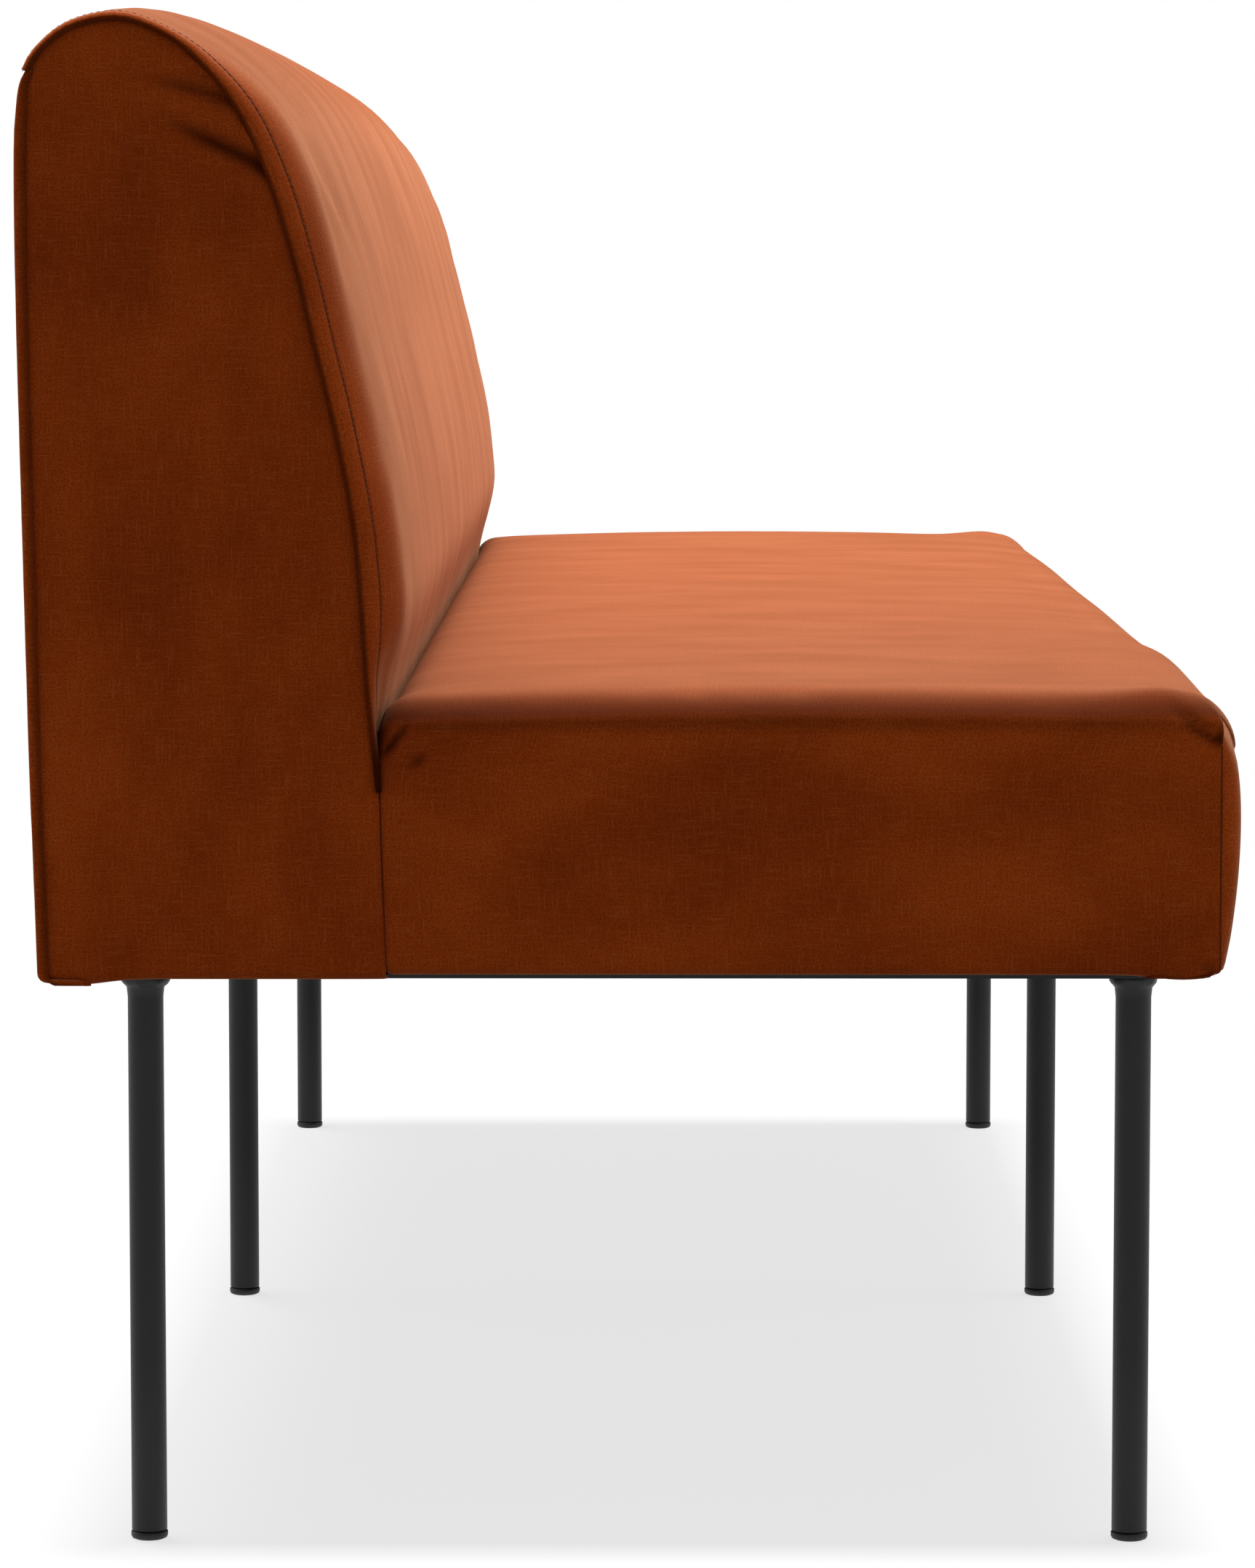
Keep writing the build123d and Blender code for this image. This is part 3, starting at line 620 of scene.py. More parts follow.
lapRows = [-back["lap"], -0.002, -0.001, -0.0004, 0.0]  # columns of the grid, closest beside the welt
nearSeam = [0.0006, 0.0012, 0.002, 0.003, 0.0045, 0.006, 0.007, 0.0076, 0.0082, 0.0088, 0.0096, 0.011, 0.0135]
nearSeam += [0.017, 0.021, 0.026, 0.032, 0.040, 0.050, 0.062, 0.078, 0.098, 0.122]


# painted shade at the lapped edge, the stitch line and the crease
def backPaintedShade(u, v):
    d = min(u, 2 * endX - u)
    spot = pointOn(seamCurve, v)
    edge = back["edgePaintedShade"] * (1 - eased(d, *back["edgeSpan"]))
    stitched = back["stitchPaintedShade"] * stitchGroove(d)
    creaseTop = mixed(*back["paintedShadeTop"], eased(d, *back["paintedShadeTurn"]))
    return max(edge, stitched, 1 - eased(spot.y, back["paintedShadeZ"], creaseTop))


def buildBackFront():
    simUs, simVs = evenly(2 * endX, 100), evenly(seamLength, 32)
    swelling = plump("backFrontPad", simUs, simVs, placeBackFront, backCore, back["swell"])
    us = fromBothEnds(lapRows + nearSeam, endX, 0.02)
    vs = steps(0, seamLength, 0.0065) + [seamLength + past for past in (-0.002, 0.0, 0.001, 0.004)]
    place = raised(placeBackFront, swelling)
    covered = ("back_front_cover", "back_wadding", "back_foam")
    coverPiece("backFront", us, vs, place, backPaintedShade, backCore, back["fill"], *covered)


buildBackFront()


# Back: the end panels, flat and dark, tucked under the lapped edge

endPanel = {
    "rearLine": [
        (0.3158, 0.3402), (0.3166, 0.3730), (0.3190, 0.4510), (0.3218, 0.5910), (0.3236, 0.7030),
        (0.3236, 0.7760), (0.3224, 0.8010), (0.3205, 0.8130), (0.3185, 0.8180),
    ],
    "footLine": [(0.1303, 0.3402), (0.1328, 0.4000)],
    "browY": 0.2375, "inset": 0.0005,
    "sink": 0.0035, "depth": 0.0012, "roll": 0.011,
    "tuck": 0.0012, "tuckWidth": 0.0011,
    "lowerRoll": 0.0065, "hem": 0.018,
    "sag": 0.0030, "sagY": 0.296, "sagWidth": 0.020, "sagHeight": 0.045,  # the rear corner hangs a little
    "wide": 0.15, "tall": 0.5,  # rough size, for the shade along the seam
    # painted shade along the front seam, above the seat
    "seamPaintedShade": 0.35, "seamZ": (0.42, 0.46), "seamSpan": (0.0002, 0.0012),
    "fill": 0.7, "swell": 0.0016,
}
# folds; dark is the strength of the shade painted into each groove
endFolds = [
    {"start": (0.2550, 0.8149), "end": (0.2096, 0.8035), "width": 0.0040, "depth": 0.0026, "dark": 0.55},
    {"start": (0.2447, 0.7924), "end": (0.1925, 0.7680), "width": 0.0042, "depth": 0.0055, "dark": 0.80},
    {"start": (0.2350, 0.8190), "end": (0.2230, 0.8150), "width": 0.0030, "depth": 0.0014, "dark": 0.20},
]


def endSides():
    def seamPoint(v):
        return pointOn(seamCurve, v) - normalOn(seamCurve, v) * endPanel["inset"]
    browV = 0.0
    while pointOn(seamCurve, browV).x < endPanel["browY"]:
        browV += 0.001
    front = [*endPanel["footLine"], *[seamPoint(browV * i / 12) for i in range(13)]]
    lastV = seamLength - 0.001
    top = [seamPoint(mixed(lastV, browV, i / 6)) for i in range(7)]
    return smoothLine(endPanel["rearLine"][:-1] + [top[0]]), smoothLine(front), smoothLine(top)


rearSide, frontSide, topSide = endSides()
endTall = frontSide[1][-1]


def onSide(curve, share):
    return pointOn(curve, share * curve[1][-1])


def placeBackEnd(side):
    topRear, topFront = topSide[0][0], topSide[0][-1]

    def place(a, b):
        # a from the rear to the front seam, b from the lower edge to the top
        a01 = min(max(a, 0.0), 1.0)
        b01 = min(max(b, 0.0), 1.0)
        rearSpot, frontSpot = onSide(rearSide, b01), onSide(frontSide, b01)
        spot = rearSpot.lerp(frontSpot, a01)
        spot = spot + b01 * (onSide(topSide, a01) - topRear.lerp(topFront, a01))
        wide = (frontSpot - rearSpot).length
        edge = min(a01 * wide, (1 - a01) * wide, (1 - b01) * endTall)  # distance to the nearest seam
        out = -endPanel["sink"] - endPanel["depth"] * exp(-edge / endPanel["roll"])
        out -= endPanel["tuck"] * exp(-(edge / endPanel["tuckWidth"]) ** 2)
        out += foldHeight(spot.x, spot.y, endFolds)
        under = max(-b, 0.0) * endTall
        turned, down = rollUnder(under, endPanel["lowerRoll"])
        hang = endPanel["sag"] * exp(-((spot.x - endPanel["sagY"]) / endPanel["sagWidth"]) ** 2)
        hang *= 1 - eased(b01 * endTall, 0.0, endPanel["sagHeight"])
        x = side * (endX + out - turned)
        return Vector((x, spot.x, spot.y - down - hang)), (side * spot.x, spot.y - under)
    return place


# painted shade in the folds and along the front seam
def endPaintedShade(side):
    place = placeBackEnd(side)

    def paintedShade(a, b):
        spot = place(a, b)[0]
        edge = min((1 - a) * endPanel["wide"], (1 - b) * endPanel["tall"])
        seam = endPanel["seamPaintedShade"] * eased(spot.z, *endPanel["seamZ"])
        seam *= 1 - eased(edge, *endPanel["seamSpan"])
        return max(foldPaintedShade(spot.y, spot.z, endFolds), seam)
    return paintedShade


def buildBackEnd(side, name, node):
    place = placeBackEnd(side)
    swelling = plump(name + "Pad", evenly(1, 14), evenly(1, 34), place, backCore, endPanel["swell"])
    near = [0.0, 0.003, 0.006, 0.009, 0.013, 0.02, 0.03, 0.045, 0.065]
    shares = fromBothEnds(near, 0.5, 0.022)
    turn = endPanel["lowerRoll"] * pi / 2
    hem = [turn + endPanel["hem"], turn + 0.006] + [turn * i / 5 for i in range(5, 0, -1)]
    heights = [-run / endTall for run in hem]
    heights += steps(0, 0.72, 0.012) + steps(0.72, 0.97, 0.0045)
    heights += [0.97, 0.976, 0.982, 0.987, 0.991, 0.994, 0.997, 1]
    form = raised(place, lambda a, b: swelling(a, b) if 0 < a < 1 and 0 < b < 1 else 0.0)
    coverPiece(name, shares, heights, form, endPaintedShade(side), backCore, endPanel["fill"], node)


buildBackEnd(-1, "backEndLeft", "back_end_cover_left")
buildBackEnd(1, "backEndRight", "back_end_cover_right")
print("back covers made")


# Rear panel

rear = {
    "line": [
        (0.3176, 0.3405), (0.3184, 0.3730), (0.3208, 0.4510), (0.3237, 0.5910), (0.3257, 0.7030),
        (0.3258, 0.7760), (0.3243, 0.8010), (0.3224, 0.8125), (0.3190, 0.8192),
    ],  # side view upwards
    "roll": 0.0032, "lowerRoll": 0.0050, "hem": 0.018, "inset": 0.0008,
    "topFlat": 0.7, "topReach": 0.03,  # the rounded sides flatten below the top seam
    "tuckIn": 0.4, "topInset": 0.008, "topIn": 0.9, "topDown": 0.5,  # hidden strips past the seams
    # on the next line, after the sag: painted shade along the side and top edges
    "sagWidth": 0.035, "paintedShade": 0.5, "paintedShadeSpan": (-0.0006, 0.0004),
    "fill": 0.6, "swell": 0.003,
}
rearCurve = smoothLine(rear["line"])
rearLength = rearCurve[1][-1]


def placeRear(u, v):
    d = min(u, 2 * endX - u)
    tuck = max(-d, 0.0)
    spot = pointOn(rearCurve, v)
    under = max(-v, 0.0)
    turned, down = rollUnder(under, rear["lowerRoll"])
    near = min(max(d, 0.0) / rear["roll"], 1.0)
    rounding = rear["roll"] * (1 - sqrt(max(1 - (1 - near) ** 2, 0.0)))
    rounding *= 1 - rear["topFlat"] * eased(v, rearLength - rear["topReach"], rearLength)
    over = max(v - rearLength, 0.0)
    y = spot.x - turned - rounding - over * rear["topIn"] - tuck
    x = -endX + min(max(u, 0.0), 2 * endX)
    inwards = rear["inset"] + tuck * rear["tuckIn"] + min(over / back["lapTurn"], 1.0) * rear["topInset"]
    x += inwards if u < endX else -inwards
    hang = endPanel["sag"] * exp(-(max(d, 0.0) / rear["sagWidth"]) ** 2)
    hang *= 1 - eased(v, 0.0, endPanel["sagHeight"])
    return Vector((x, y, spot.y - down - over * rear["topDown"] - hang)), (u, v)


# painted shade along the side and top edges
def rearPaintedShade(u, v):
    edge = min(u, 2 * endX - u, rearLength - v)
    return rear["paintedShade"] * (1 - eased(edge, *rear["paintedShadeSpan"]))


def buildRear():
    simUs, simVs = evenly(2 * endX, 100), evenly(rearLength, 28)
    swelling = plump("rearPad", simUs, simVs, placeRear, backCore, rear["swell"])
    near = [-0.003, -0.0015, 0.0, 0.0003, 0.0008, 0.0015, 0.0024, 0.0034, 0.006, 0.012, 0.025, 0.04]
    us = fromBothEnds(near, endX, 0.02)
    turn = rear["lowerRoll"] * pi / 2
    hem = [-turn - rear["hem"], -turn - 0.006, *[-turn * i / 4 for i in range(4, 0, -1)]]
    vs = hem + steps(0, rearLength - 0.02, 0.012) + steps(rearLength - 0.02, rearLength, 0.003)
    vs += [rearLength, rearLength + 0.002, rearLength + 0.005]
    place = raised(placeRear, swelling)
    coverPiece("rearPanel", us, vs, place, rearPaintedShade, backCore, rear["fill"], "rear_cover")


buildRear()


# Seat: one cover over the top and both ends, and a front panel sewn to it

seat = {
    "sink": 0.0052, "rearGap": 0.0010,  # depth of the tight cover inside the part's box before it swells
    "edgeZ": 0.4828, "crown": 0.0050, "lengthCrown": 0.0015,
    "endRoll": 0.060, "endDepth": 0.0140,  # length and height of the oval roll over the ends
    "cornerInset": 0.026, "cornerFrom": 0.030, "cornerFull": 0.8, "rearCornerFrom": 0.020,
    "frontRoll": 0.0295, "cornerFrontRoll": 0.0018, "frontSet": 0.0012,
    "rearRoll": 0.022, "cornerRearRoll": 0.012, "sideRearRoll": 0.0035, "rearCornerZ": (0.440, 0.474),
    "rearDrop": 0.050, "cornerRearDrop": 0.018, "rearLap": 0.0008,
    "seamDrop": 0.0295, "cornerSeamDrop": 0.0036, "climbFrom": 0.034,
    "cornerY": -0.3182, "frontBulge": 0.0128, "bulgeReach": 0.0050, "bulgeTo": 0.026,
    "frontWaves": [(-0.60, 0.14, 0.0060), (-0.05, 0.16, 0.0010), (0.45, 0.18, 0.0014), (0.80, 0.06, -0.0010)],
    "waveRise": (1.72, 1.97), "waveFall": (2.2, 3.0),  # where the waves lie over the front edge
    "tuckBack": 0.003, "tuckDown": 0.004,  # hidden strip behind the front seam
    "lowerRoll": 0.0065, "hem": 0.015,
    "cornerLift": 0.0050, "liftY": -0.292, "liftWidth": 0.030,  # full front corners
    "sag": 0.0026, "sagY": -0.298, "sagWidth": 0.020, "sagHeight": 0.05,
    "edgePaintedShade": 0.80,  # painted shade over the rolls at the seat's ends
    "edgeShares": (0.1, 0.75), "edgeStop": (0.020, 0.007),  # over the roll, and back from its end
    # painted shade in the crease, along the front seam and in the corner pleats
    "creasePaintedShade": (0.45, 0.85), "seamPaintedShade": 0.25, "seamSpan": (2.94, 3.0),
    "pleatPaintedShade": 0.8, "pleatSpan": (2.0, 2.3),
    "fill": 0.85, "swell": 0.0016,
}
# folds; dark is the strength of the shade painted into each groove
seatFolds = [
    {"start": (-0.2820, 0.4815), "end": (-0.3155, 0.4620), "width": 0.0026, "depth": 0.0030, "dark": 0.80},
    {"start": (-0.3090, 0.4830), "end": (-0.3166, 0.4650), "width": 0.0015, "depth": 0.0016, "dark": 0.85},
    {"start": (0.1150, 0.4760), "end": (0.1291, 0.4577), "width": 0.0024, "depth": 0.0026, "dark": 0.90},
    {"start": (0.1080, 0.4545), "end": (0.1190, 0.4480), "width": 0.0024, "depth": 0.0016, "dark": 0.75},
    {"start": (-0.3020, 0.3456), "end": (-0.3180, 0.3358), "width": 0.0026, "depth": 0.0018, "dark": 0.40},
]
seatCore = Vector((0, -0.1, 0.42))
sideX = endX - seat["sink"]
backY = seatRearY - seat["rearGap"]


def seatProfile():
    # front view of one half of the cover, from the middle over the end and under
    wide, tall, low = seat["endRoll"], seat["endDepth"], seat["lowerRoll"]
    turns = [i * pi / 60 for i in range(31)]
    line = [(sideX * i / 20 - wide * i / 20, seat["edgeZ"]) for i in range(20)]
    line += [(sideX - wide + wide * sin(t), seat["edgeZ"] - tall + tall * cos(t)) for t in turns]
    line += [(sideX, mixed(seat["edgeZ"] - tall, underZ + low, i / 12)) for i in range(1, 12)]
    line += [(sideX - low + low * cos(t), underZ + low - low * sin(t)) for t in turns[::3]]
    line.append((sideX - low - seat["hem"], underZ))
    return smoothLine(line, 1)


seatCurve = seatProfile()
seatHalfRun = seatCurve[1][-1]
topHalf = sideX - seat["endRoll"]
rollEnd = next(run for spot, run in zip(*seatCurve) if spot.y < seat["edgeZ"] - seat["endDepth"])
cornerRun = next(run for spot, run in zip(*seatCurve) if spot.x > sideX - seat["cornerInset"])
lowerRun = next(run for spot, run in zip(*seatCurve) if spot.y < underZ + seat["lowerRoll"])
pleatRun = mixed(cornerRun, rollEnd, 0.4)


def seatSide(u):
    # place and outward direction in the view from the front, at a run from the middle
    side = -1 if u < 0 else 1
    spot = pointOn(seatCurve, abs(u))
    out = normalOn(seatCurve, abs(u), 0.002)
    return side * spot.x, spot.y, side * out.x, out.y


def backFootY(z):
    # depth of the front edge of the back's end panel, where the seat's end butts against it
    low, high = Vector(endPanel["footLine"][0]), seamCurve[0][0]
    return mixed(low.x, high.x, (z - low.y) / (high.y - low.y))


def frontSeamDrop(run):
    # how far the front seam lies below the top edge; it climbs towards the corner
    climb = eased(run, cornerRun - seat["climbFrom"], pleatRun)
    return mixed(seat["seamDrop"], seat["cornerSeamDrop"], climb)


def endShare(run):
    # 0 on the top, 1 on the end
    return eased(run, cornerRun, rollEnd)


def placeSeat(u, v):
    # v: 0 to 1 up out of the crease, 1 to 2 over the top, 2 to 3 down the front
    x, z, nx, nz = seatSide(u)
    reach = abs(u)
    corner = eased(reach, cornerRun - seat["cornerFrom"], mixed(cornerRun, rollEnd, seat["cornerFull"]))
    rearCorner = eased(reach, topHalf - seat["rearCornerFrom"], cornerRun)
    onEnd = endShare(reach)
    endRoll = mixed(seat["sideRearRoll"], seat["cornerRearRoll"], eased(z, *seat["rearCornerZ"]))
    rearRoll = mixed(seat["rearRoll"], endRoll, rearCorner)
    rearEdge = mixed(backY, backFootY(z) + seat["rearLap"], onEnd)
    frontRoll = mixed(seat["frontRoll"], seat["cornerFrontRoll"], corner)
    rearDrop = mixed(seat["rearDrop"], seat["cornerRearDrop"], rearCorner)
    seamDrop = frontSeamDrop(reach)
    d = max(sideX - abs(x), 0.0)
    ahead = seat["frontBulge"] * (1 - exp(-d / seat["bulgeReach"]))
    drawnIn = eased(reach, cornerRun - seat["bulgeTo"], pleatRun)
    front = mixed(seat["cornerY"] - ahead, seat["cornerY"], drawnIn)
    front += (1 - corner) * seat["frontSet"]
    topRun = backY - front - rearRoll - frontRoll
    if v < 1:
        straight = max(rearDrop - rearRoll, 0.0)
        run = v * (straight + rearRoll * pi / 2)
        angle = min(max((run - straight) / rearRoll, 0.0), pi / 2)
        y = rearEdge - rearRoll + rearRoll * cos(angle)
        drop = rearRoll - rearRoll * sin(angle) + max(straight - run, 0.0)
        thread = run - straight - rearRoll * pi / 2
    elif v <= 2:
        y = mixed(rearEdge - rearRoll, front + frontRoll, v - 1)
        drop = 0.0
        thread = (v - 1) * topRun
    else:
        turn = acos(max(1 - seamDrop / frontRoll, 0.0))
        straight = max(seamDrop - frontRoll, 0.0)
        run = (min(v, 3.0) - 2) * (turn * frontRoll + straight)
        angle = min(run / frontRoll, turn)
        y = front + frontRoll - frontRoll * sin(angle)
        drop = frontRoll * (1 - cos(angle)) + max(run - turn * frontRoll, 0.0)
        thread = topRun + run
    if v > 3:
        y += (v - 3) * seat["tuckBack"] * (1 - corner)
        drop += (v - 3) * seat["tuckDown"]
    waves = sum(rise * exp(-((x - spot) / wide) ** 2) for spot, wide, rise in seat["frontWaves"])
    drop -= (1 - corner) * waves * eased(v, *seat["waveRise"]) * (1 - eased(v, *seat["waveFall"]))
    middle = (seatRearY + frontY) / 2
    half = (seatRearY - frontY) / 2
    rise = seat["crown"] * max(1 - ((y - middle) / half) ** 2, 0.0)
    rise += seat["lengthCrown"] * (1 - (x / endX) ** 2)
    drop -= max(nz, 0.0) * rise
    away = ((y - seat["liftY"]) / seat["liftWidth"]) ** 2 + ((reach - cornerRun) / seat["liftWidth"]) ** 2
    drop -= seat["cornerLift"] * exp(-away)
    if onEnd > 0:
        drop -= onEnd * foldHeight(y, z, seatFolds)
    hang = seat["sag"] * exp(-((y - seat["sagY"]) / seat["sagWidth"]) ** 2)
    hang *= 1 - eased(z, underZ, underZ + seat["sagHeight"])
    return Vector((x - drop * nx, y, z - drop * nz - hang)), (u, thread)


# painted shade in the folds, the crease, the front seam, the corner pleats and over the end rolls
def seatPaintedShade(u, v):
    spot = placeSeat(u, v)[0]
    reach = abs(u)
    onEnd = endShare(reach)
    low, high = seat["creasePaintedShade"]
    rearEdge = 1 - eased(v, low, mixed(high, 1.0, onEnd))
    frontEdge = seat["seamPaintedShade"] * eased(v, *seat["seamSpan"])
    pleat = seat["pleatPaintedShade"] * onEnd * eased(v, *seat["pleatSpan"])
    share = (reach - topHalf) / (rollEnd - topHalf)
    offRoll = eased(reach, *[rollEnd - short for short in seat["edgeStop"]])
    overEdge = seat["edgePaintedShade"] * eased(share, *seat["edgeShares"]) * (1 - offRoll)
    return max(onEnd * foldPaintedShade(spot.y, spot.z, seatFolds), rearEdge, frontEdge, pleat, overEdge)


def buildSeatTop():
    hemRun = seatHalfRun - seat["hem"]
    simUs = [mixed(-hemRun, hemRun, share) for share in evenly(1, 110)]
    simVs = [0.5, 0.75, 1.0] + [1 + i / 30 for i in range(1, 31)] + [2.33, 2.66, 3.0]
    swelling = plump("seatTopPad", simUs, simVs, placeSeat, seatCore, seat["swell"])
    half = steps(0, topHalf - 0.06, 0.02) + steps(topHalf - 0.06, topHalf, 0.005)
    half += steps(topHalf, rollEnd, 0.0025) + steps(rollEnd, lowerRun, 0.006)
    half += steps(lowerRun, hemRun, 0.0026) + [hemRun, hemRun + 0.008, seatHalfRun]
    us = [-u for u in reversed(half[1:])] + half
    vs = steps(0, 1, 0.1) + steps(1, 1.1, 0.008) + steps(1.1, 1.88, 0.016) + steps(1.88, 2, 0.008)
    vs += steps(2, 3, 0.06) + [3.0, 3.4, 4.0]
    place = raised(placeSeat, lambda u, v: swelling(u, v) if simVs[0] < v < simVs[-1] else 0.0)
    covered = ("seat_cover", "seat_wadding", "seat_foam")
    coverPiece("seatTop", us, vs, place, seatPaintedShade, seatCore, seat["fill"], *covered)


buildSeatTop()

frontPanel = {
    "bowZ": 0.42, "bowAbove": 130, "bowBelow": 100,  # fullest at this height
    "flatten": 0.75, "flattenReach": (0.004, 0.034), "flattenZ": (0.450, 0.480),  # rounds the upper corners
    "sink": 0.001, "inset": 0.0016, "tuckBack": 1.4,
    "seamFrom": 0.004, "seamSink": 0.0002, "seamReach": 0.010, "seamDip": 0.0005, "dipWidth": 0.0012,
    # painted shade along the edges
    "paintedShade": 0.6, "paintedShadeSpan": (-0.0004, 0.0006), "tall": 0.115,
    "fill": 0.75, "swell": 0.0012,
}


def placeSeatFront(u, v):
    # v runs down from the seam with the top
    d = min(u, 2 * sideX - u)
    border = placeSeat(max(d, seat["cornerInset"]) - sideX, 3.0)[0]
    lowZ = underZ + seat["lowerRoll"]
    tall = border.z - lowZ
    z = border.z - min(max(v, 0.0), 1.0) * tall
    turned, down = rollUnder(max(v - 1, 0.0) * tall, seat["lowerRoll"])
    bend = frontPanel["bowAbove"] if z > frontPanel["bowZ"] else frontPanel["bowBelow"]
    bow = 1 - bend * (z - frontPanel["bowZ"]) ** 2
    ahead = seat["frontBulge"] * (1 - exp(-max(d, 0.0) / seat["bulgeReach"]))
    upperCorner = (1 - eased(d, *frontPanel["flattenReach"])) * eased(z, *frontPanel["flattenZ"])
    ahead *= 1 - frontPanel["flatten"] * upperCorner
    y = seat["cornerY"] + frontPanel["sink"] - ahead * bow + turned
    seamY = mixed(seat["cornerY"], border.y, eased(d, frontPanel["seamFrom"], seat["cornerInset"]))
    seamY += frontPanel["seamSink"]
    below = max(v, 0.0) * tall
    y = mixed(y, seamY, exp(-below / frontPanel["seamReach"]))
    y += frontPanel["seamDip"] * exp(-(below / frontPanel["dipWidth"]) ** 2) + max(-v, 0.0) * tall
    y += frontPanel["tuckBack"] * max(-d, 0.0)
    inset = frontPanel["inset"] + abs(d)
    x = inset - sideX if u < sideX else sideX - inset
    return Vector((x, y, z - down)), (u, -v * tall)


# painted shade along the edges
def frontPaintedShade(u, v):
    edge = min(u, 2 * sideX - u, max(v, 0.0) * frontPanel["tall"])
    return frontPanel["paintedShade"] * (1 - eased(edge, *frontPanel["paintedShadeSpan"]))


def buildSeatFront():
    simUs, simVs = evenly(2 * sideX, 110), evenly(1, 10)
    swelling = plump("seatFrontPad", simUs, simVs, placeSeatFront, seatCore, frontPanel["swell"])
    near = [-0.004, -0.002, -0.0008, 0.0, 0.0006, 0.0014, 0.0025, 0.004, 0.006, 0.009, 0.013, 0.018]
    near += [0.025, 0.034, 0.045, 0.06]
    us = fromBothEnds(near, sideX, 0.02)
    vs = [-0.03, -0.012, 0.0, 0.006, 0.013, 0.022, 0.035, 0.05] + steps(0.08, 1, 0.045)
    vs += [1, 1.03, 1.06, 1.09, 1.12, 1.2, 1.3]
    place = raised(placeSeatFront, lambda u, v: swelling(u, v) if 0 < v < 1 else 0.0)
    coverPiece("seatFront", us, vs, place, frontPaintedShade, seatCore, frontPanel["fill"])


buildSeatFront()
print("seat covers made")


# Topstitching beside the lapped edges

def buildStitches():
    bm = bmesh.new()
    size = Matrix.Diagonal((back["stitchLength"] / 2, back["stitchRadius"], back["stitchRadius"], 1))
    for u in (back["stitchLine"], 2 * endX - back["stitchLine"]):
        v = back["stitchFrom"]
        while v < seamLength - back["stitchTo"]:
            here = placeBackFront(u, v)[0]
            ahead = placeBackFront(u, v + back["stitchLength"])[0]
            normal = normalOn(seamCurve, v)
            lift = Vector((0, normal.x, normal.y)) * back["stitchRadius"] * back["stitchLift"]
            turn = (ahead - here).normalized().to_track_quat("X", "Z").to_matrix().to_4x4()
            stitch = Matrix.Translation((here + ahead) / 2 + lift) @ turn @ size
            bmesh.ops.create_icosphere(bm, subdivisions=1, radius=1.0, matrix=stitch)
            v += back["stitchPitch"]
    finishPiece("topStitches", bm, finishes["stitch_thread"], "velvet")


buildStitches()


# Legs with their weld beads, and glides

leg = {
    "radius": 0.010, "edge": 0.0006, "segments": 40,
    "plainTo": 0.012,  # plain tube up to this far below the top
    "beadHeight": 0.0065, "beadRise": 0.0034, "beadFrom": 0.001,
    "ripple": 0.0009, "wander": 0.0012,  # unevenness of the weld, outwards and upwards
}
legNodes = ["leg_%s_%s" % (row, place) for row in ("front", "rear") for place in ("left", "centre", "right")]


def legCentre(node):
    low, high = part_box(node)
    return Vector(((low[0] + high[0]) / 2, (low[1] + high[1]) / 2, 0))


def buildLeg(node):
    centre = legCentre(node)
    bottom, top = [corner[2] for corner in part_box(node)]
    bm = bmesh.new()
    bmesh.ops.create_circle(bm, segments=leg["segments"], radius=leg["radius"] - leg["edge"])
    bmesh.ops.translate(bm, verts=bm.verts, vec=centre + Vector((0, 0, bottom)))
    plain = [bottom + leg["edge"], bottom + 0.1, bottom + 0.2, top - leg["plainTo"]]
    rings = [(z, 0.0) for z in plain]
    for i in range(7):
        bead = leg["beadRise"] * sin(pi * min(i + 0.5, 5) / 9)
        rings.append((top - leg["beadHeight"] * (1 - i / 6), bead))
    edges = bm.edges[:]
    for z, out in rings:
        made = bmesh.ops.extrude_edge_only(bm, edges=edges)
        ring = [g for g in made["geom"] if isinstance(g, bmesh.types.BMVert)]
        edges = [g for g in made["geom"] if isinstance(g, bmesh.types.BMEdge)]
        welded = out > leg["beadFrom"]
        for vert in ring:
            arm = Vector((vert.co.x - centre.x, vert.co.y - centre.y, 0)).normalized()
            rough = noise.noise(Vector((arm.x * 2.2 + centre.x * 7, arm.y * 2.2 + centre.y * 7, z * 260)))
            ripple = rough * leg["ripple"] if welded else 0
            vert.co = centre + arm * (leg["radius"] + out + ripple) + Vector((0, 0, z))
            if welded:
                drift = noise.noise(Vector((arm.x * 3 + 5, arm.y * 3, centre.x * 3 + centre.y)))
                vert.co.z = min(vert.co.z + leg["wander"] * drift, top)
    bmesh.ops.contextual_create(bm, geom=edges)
    bmesh.ops.recalc_face_normals(bm, faces=bm.faces)
    finishPiece(joinedName(node), bm, finishes["black_powder_coat"], "black_powder_coat", node)


for node in legNodes:
    buildLeg(node)

glide = {"radius": 0.0104, "chamfer": 0.0010, "height": 0.0046, "plug": 0.003, "segments": 36}


def buildGlides():
    r, c, h = glide["radius"], glide["chamfer"], glide["height"]
    outline = [(0, 0), (r - 2.2 * c, 0), (r - c * 0.6, c * 0.7), (r, 2 * c), (r, h - c * 0.6)]
    outline += [(r - c * 0.5, h), (r - 1.8 * c, h), (r - 1.8 * c, h + glide["plug"]), (0, h + glide["plug"])]
    bm = bmesh.new()
    for node in legNodes:
        spot = legCentre(node)
        verts = [bm.verts.new(spot + Vector((x, 0, z))) for x, z in outline]
        edges = [bm.edges.new(pair) for pair in zip(verts, verts[1:])]
        turned = {"cent": spot, "axis": (0, 0, 1), "angle": 2 * pi, "steps": glide["segments"]}
        bmesh.ops.spin(bm, geom=verts + edges, use_merge=True, **turned)
    bmesh.ops.remove_doubles(bm, verts=bm.verts, dist=1e-5)
    bmesh.ops.recalc_face_normals(bm, faces=bm.faces)
    finishPiece("footGlides", bm, finishes["black_plastic"], "black_plastic", "foot_glides")


buildGlides()
print("legs and glides made")


# Dust cover under the frame

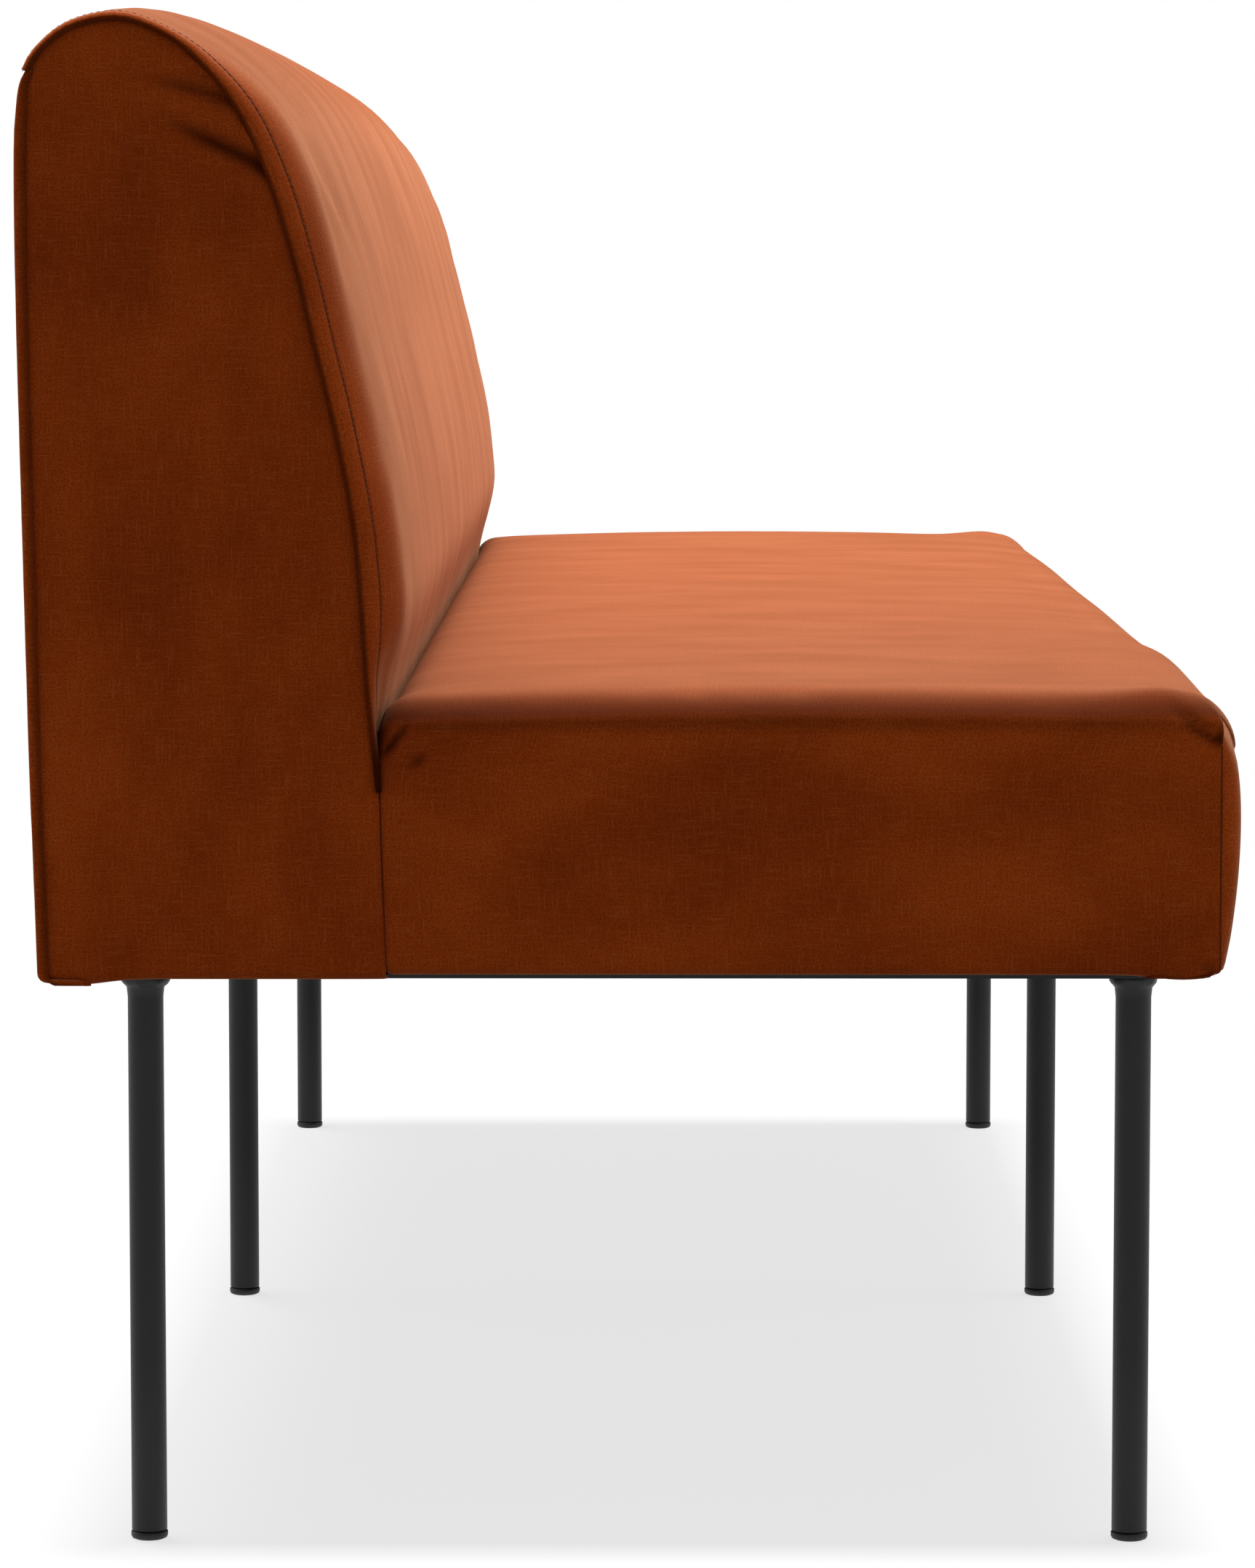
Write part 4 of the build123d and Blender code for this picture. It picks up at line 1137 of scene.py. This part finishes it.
dust = {
    "sag": 0.0012, "thickness": 0.0006, "waves": (5, 16, 0.3),
    "edgeReach": (0.004, 0.05), "barReach": (0.004, 0.06),  # tight along the edges and the crossbars
}


def buildDustCover():
    low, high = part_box("dust_cover")
    bars = [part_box("crossbar_" + place) for place in ("left", "centre", "right")]
    along, across, offset = dust["waves"]

    def place(u, v):
        x, y = mixed(low[0], high[0], u), mixed(low[1], high[1], v)
        edge = min(x - low[0], high[0] - x, y - low[1], high[1] - y)
        bar = min(max(b[0][0] - x, x - b[1][0], 0.0) for b in bars)
        loose = eased(edge, *dust["edgeReach"]) * eased(bar, *dust["barReach"])
        wave = 0.5 + 0.5 * noise.noise(Vector((x * along, y * across, offset)))
        return Vector((x, y, low[2] + dust["thickness"] - dust["sag"] * loose * wave)), (x, y)

    bm = clothGrid(evenly(1, 120), evenly(1, 44), place)
    bmesh.ops.reverse_faces(bm, faces=bm.faces)
    cover = finishPiece("dustCover", bm, finishes["dust_cloth"], "dust_cloth", "dust_cover")
    shell = cover.modifiers.new("Cloth thickness", "SOLIDIFY")
    shell.thickness = dust["thickness"]
    shell.offset = -1


buildDustCover()
print("dust cover made")


# Floor, light and camera

floorLook = {
    "tone": (0.80, 0.80, 0.80, 1), "bounce": (0.28, 0.28, 0.28, 1), "roughness": 0.9, "size": 30,
    "glow": 0.72, "fade": 0.05,  # plain white this far outside the feet
    "room": 0.36,  # strength of the light from all round
}


def buildStage():
    floor = bpy.data.meshes.new("floor")
    bm = bmesh.new()
    bmesh.ops.create_grid(bm, x_segments=4, y_segments=4, size=floorLook["size"])
    bm.to_mesh(floor)
    bm.free()
    ground = bpy.data.objects.new("floor", floor)
    scene.collection.objects.link(ground)
    material, tree, shader = newMaterial("paleFloor")
    shader.inputs["Roughness"].default_value = floorLook["roughness"]
    shader.inputs["Specular IOR Level"].default_value = 0.0
    glow = addNode(tree, "ShaderNodeEmission", {"Color": (1, 1, 1, 1), "Strength": 1.0})
    path = addNode(tree, "ShaderNodeLightPath")
    seen = calc(tree, "MAXIMUM", path.outputs["Is Camera Ray"], path.outputs["Is Glossy Ray"])
    seen = calc(tree, "MAXIMUM", seen, path.outputs["Is Transmission Ray"])
    tone = mixColours(tree, seen, floorLook["bounce"], floorLook["tone"])
    tree.links.new(tone, shader.inputs["Base Color"])
    place = addNode(tree, "ShaderNodeTexCoord").outputs["Object"]
    spread = addNode(tree, "ShaderNodeVectorMath", {0: place}, operation="ABSOLUTE").outputs[0]
    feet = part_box("leg_rear_right")[1]
    reach = (feet[0], feet[1], 0)
    beyond = addNode(tree, "ShaderNodeVectorMath", {0: spread, 1: reach}, operation="SUBTRACT").outputs[0]
    beyond = addNode(tree, "ShaderNodeVectorMath", {0: beyond, 1: (0, 0, 0)}, operation="MAXIMUM").outputs[0]
    away = addNode(tree, "ShaderNodeVectorMath", {0: beyond}, operation="LENGTH").outputs["Value"]
    white = ranged(tree, away, 0.0, floorLook["fade"], floorLook["glow"], 1.0)
    both = addNode(tree, "ShaderNodeMixShader", {0: calc(tree, "MULTIPLY", seen, white)})
    tree.links.new(shader.outputs[0], both.inputs[1])
    tree.links.new(glow.outputs[0], both.inputs[2])
    below = addNode(tree, "ShaderNodeNewGeometry").outputs["Backfacing"]
    clear = addNode(tree, "ShaderNodeBsdfTransparent")
    sided = addNode(tree, "ShaderNodeMixShader", {0: below, 1: both.outputs[0], 2: clear.outputs[0]})
    tree.links.new(sided.outputs[0], tree.nodes["Material Output"].inputs["Surface"])
    floor.materials.append(material)
    world = bpy.data.worlds.new("studio")
    scene.world = world
    world.use_nodes = True
    tree = world.node_tree
    path = addNode(tree, "ShaderNodeLightPath")
    seen = calc(tree, "MAXIMUM", path.outputs["Is Camera Ray"], path.outputs["Is Transmission Ray"])
    backdrop = tree.nodes["Background"]
    backdrop.inputs["Color"].default_value = (1, 1, 1, 1)
    tree.links.new(ranged(tree, seen, 0, 1, floorLook["room"], 1.0), backdrop.inputs["Strength"])


lamps = {
    "topLamp": {"spot": (0.75, 0.15, 3.1), "aim": (0, 0, 0.4), "size": 2.4, "power": 140},
    "frontLamp": {"spot": (0.3, -3.6, 1.9), "aim": (0, 0.1, 0.5), "size": 2.4, "power": 22},
    "rearLamp": {"spot": (0.6, 3.4, 1.6), "aim": (0, 0.1, 0.5), "size": 2.6, "power": 24},
}


def buildLamps():
    for name, given in lamps.items():
        light = bpy.data.lights.new(name, "AREA")
        light.shape = "SQUARE"
        light.size = given["size"]
        light.energy = given["power"]
        lamp = bpy.data.objects.new(name, light)
        lamp.location = given["spot"]
        ahead = Vector(given["aim"]) - Vector(given["spot"])
        lamp.rotation_euler = ahead.to_track_quat("-Z", "Y").to_euler()
        scene.collection.objects.link(lamp)


view = {"spot": (-3.98215, -0.0135, 0.72729), "pitch": 5.3223, "yaw": 0.2602, "lens": 133.0, "sensor": 36}


def buildCamera():
    camera = bpy.data.objects.new("camera", bpy.data.cameras.new("camera"))
    camera.data.lens = view["lens"]
    camera.data.sensor_width = view["sensor"]
    camera.location = view["spot"]
    pitch, yaw = radians(view["pitch"]), radians(view["yaw"])
    ahead = Vector((cos(pitch) * cos(yaw), cos(pitch) * sin(yaw), -sin(pitch)))
    camera.rotation_euler = ahead.to_track_quat("-Z", "Y").to_euler()
    scene.collection.objects.link(camera)
    scene.camera = camera


buildStage()
buildLamps()
buildCamera()
scene.view_settings.view_transform = "Standard"
print("stage set")
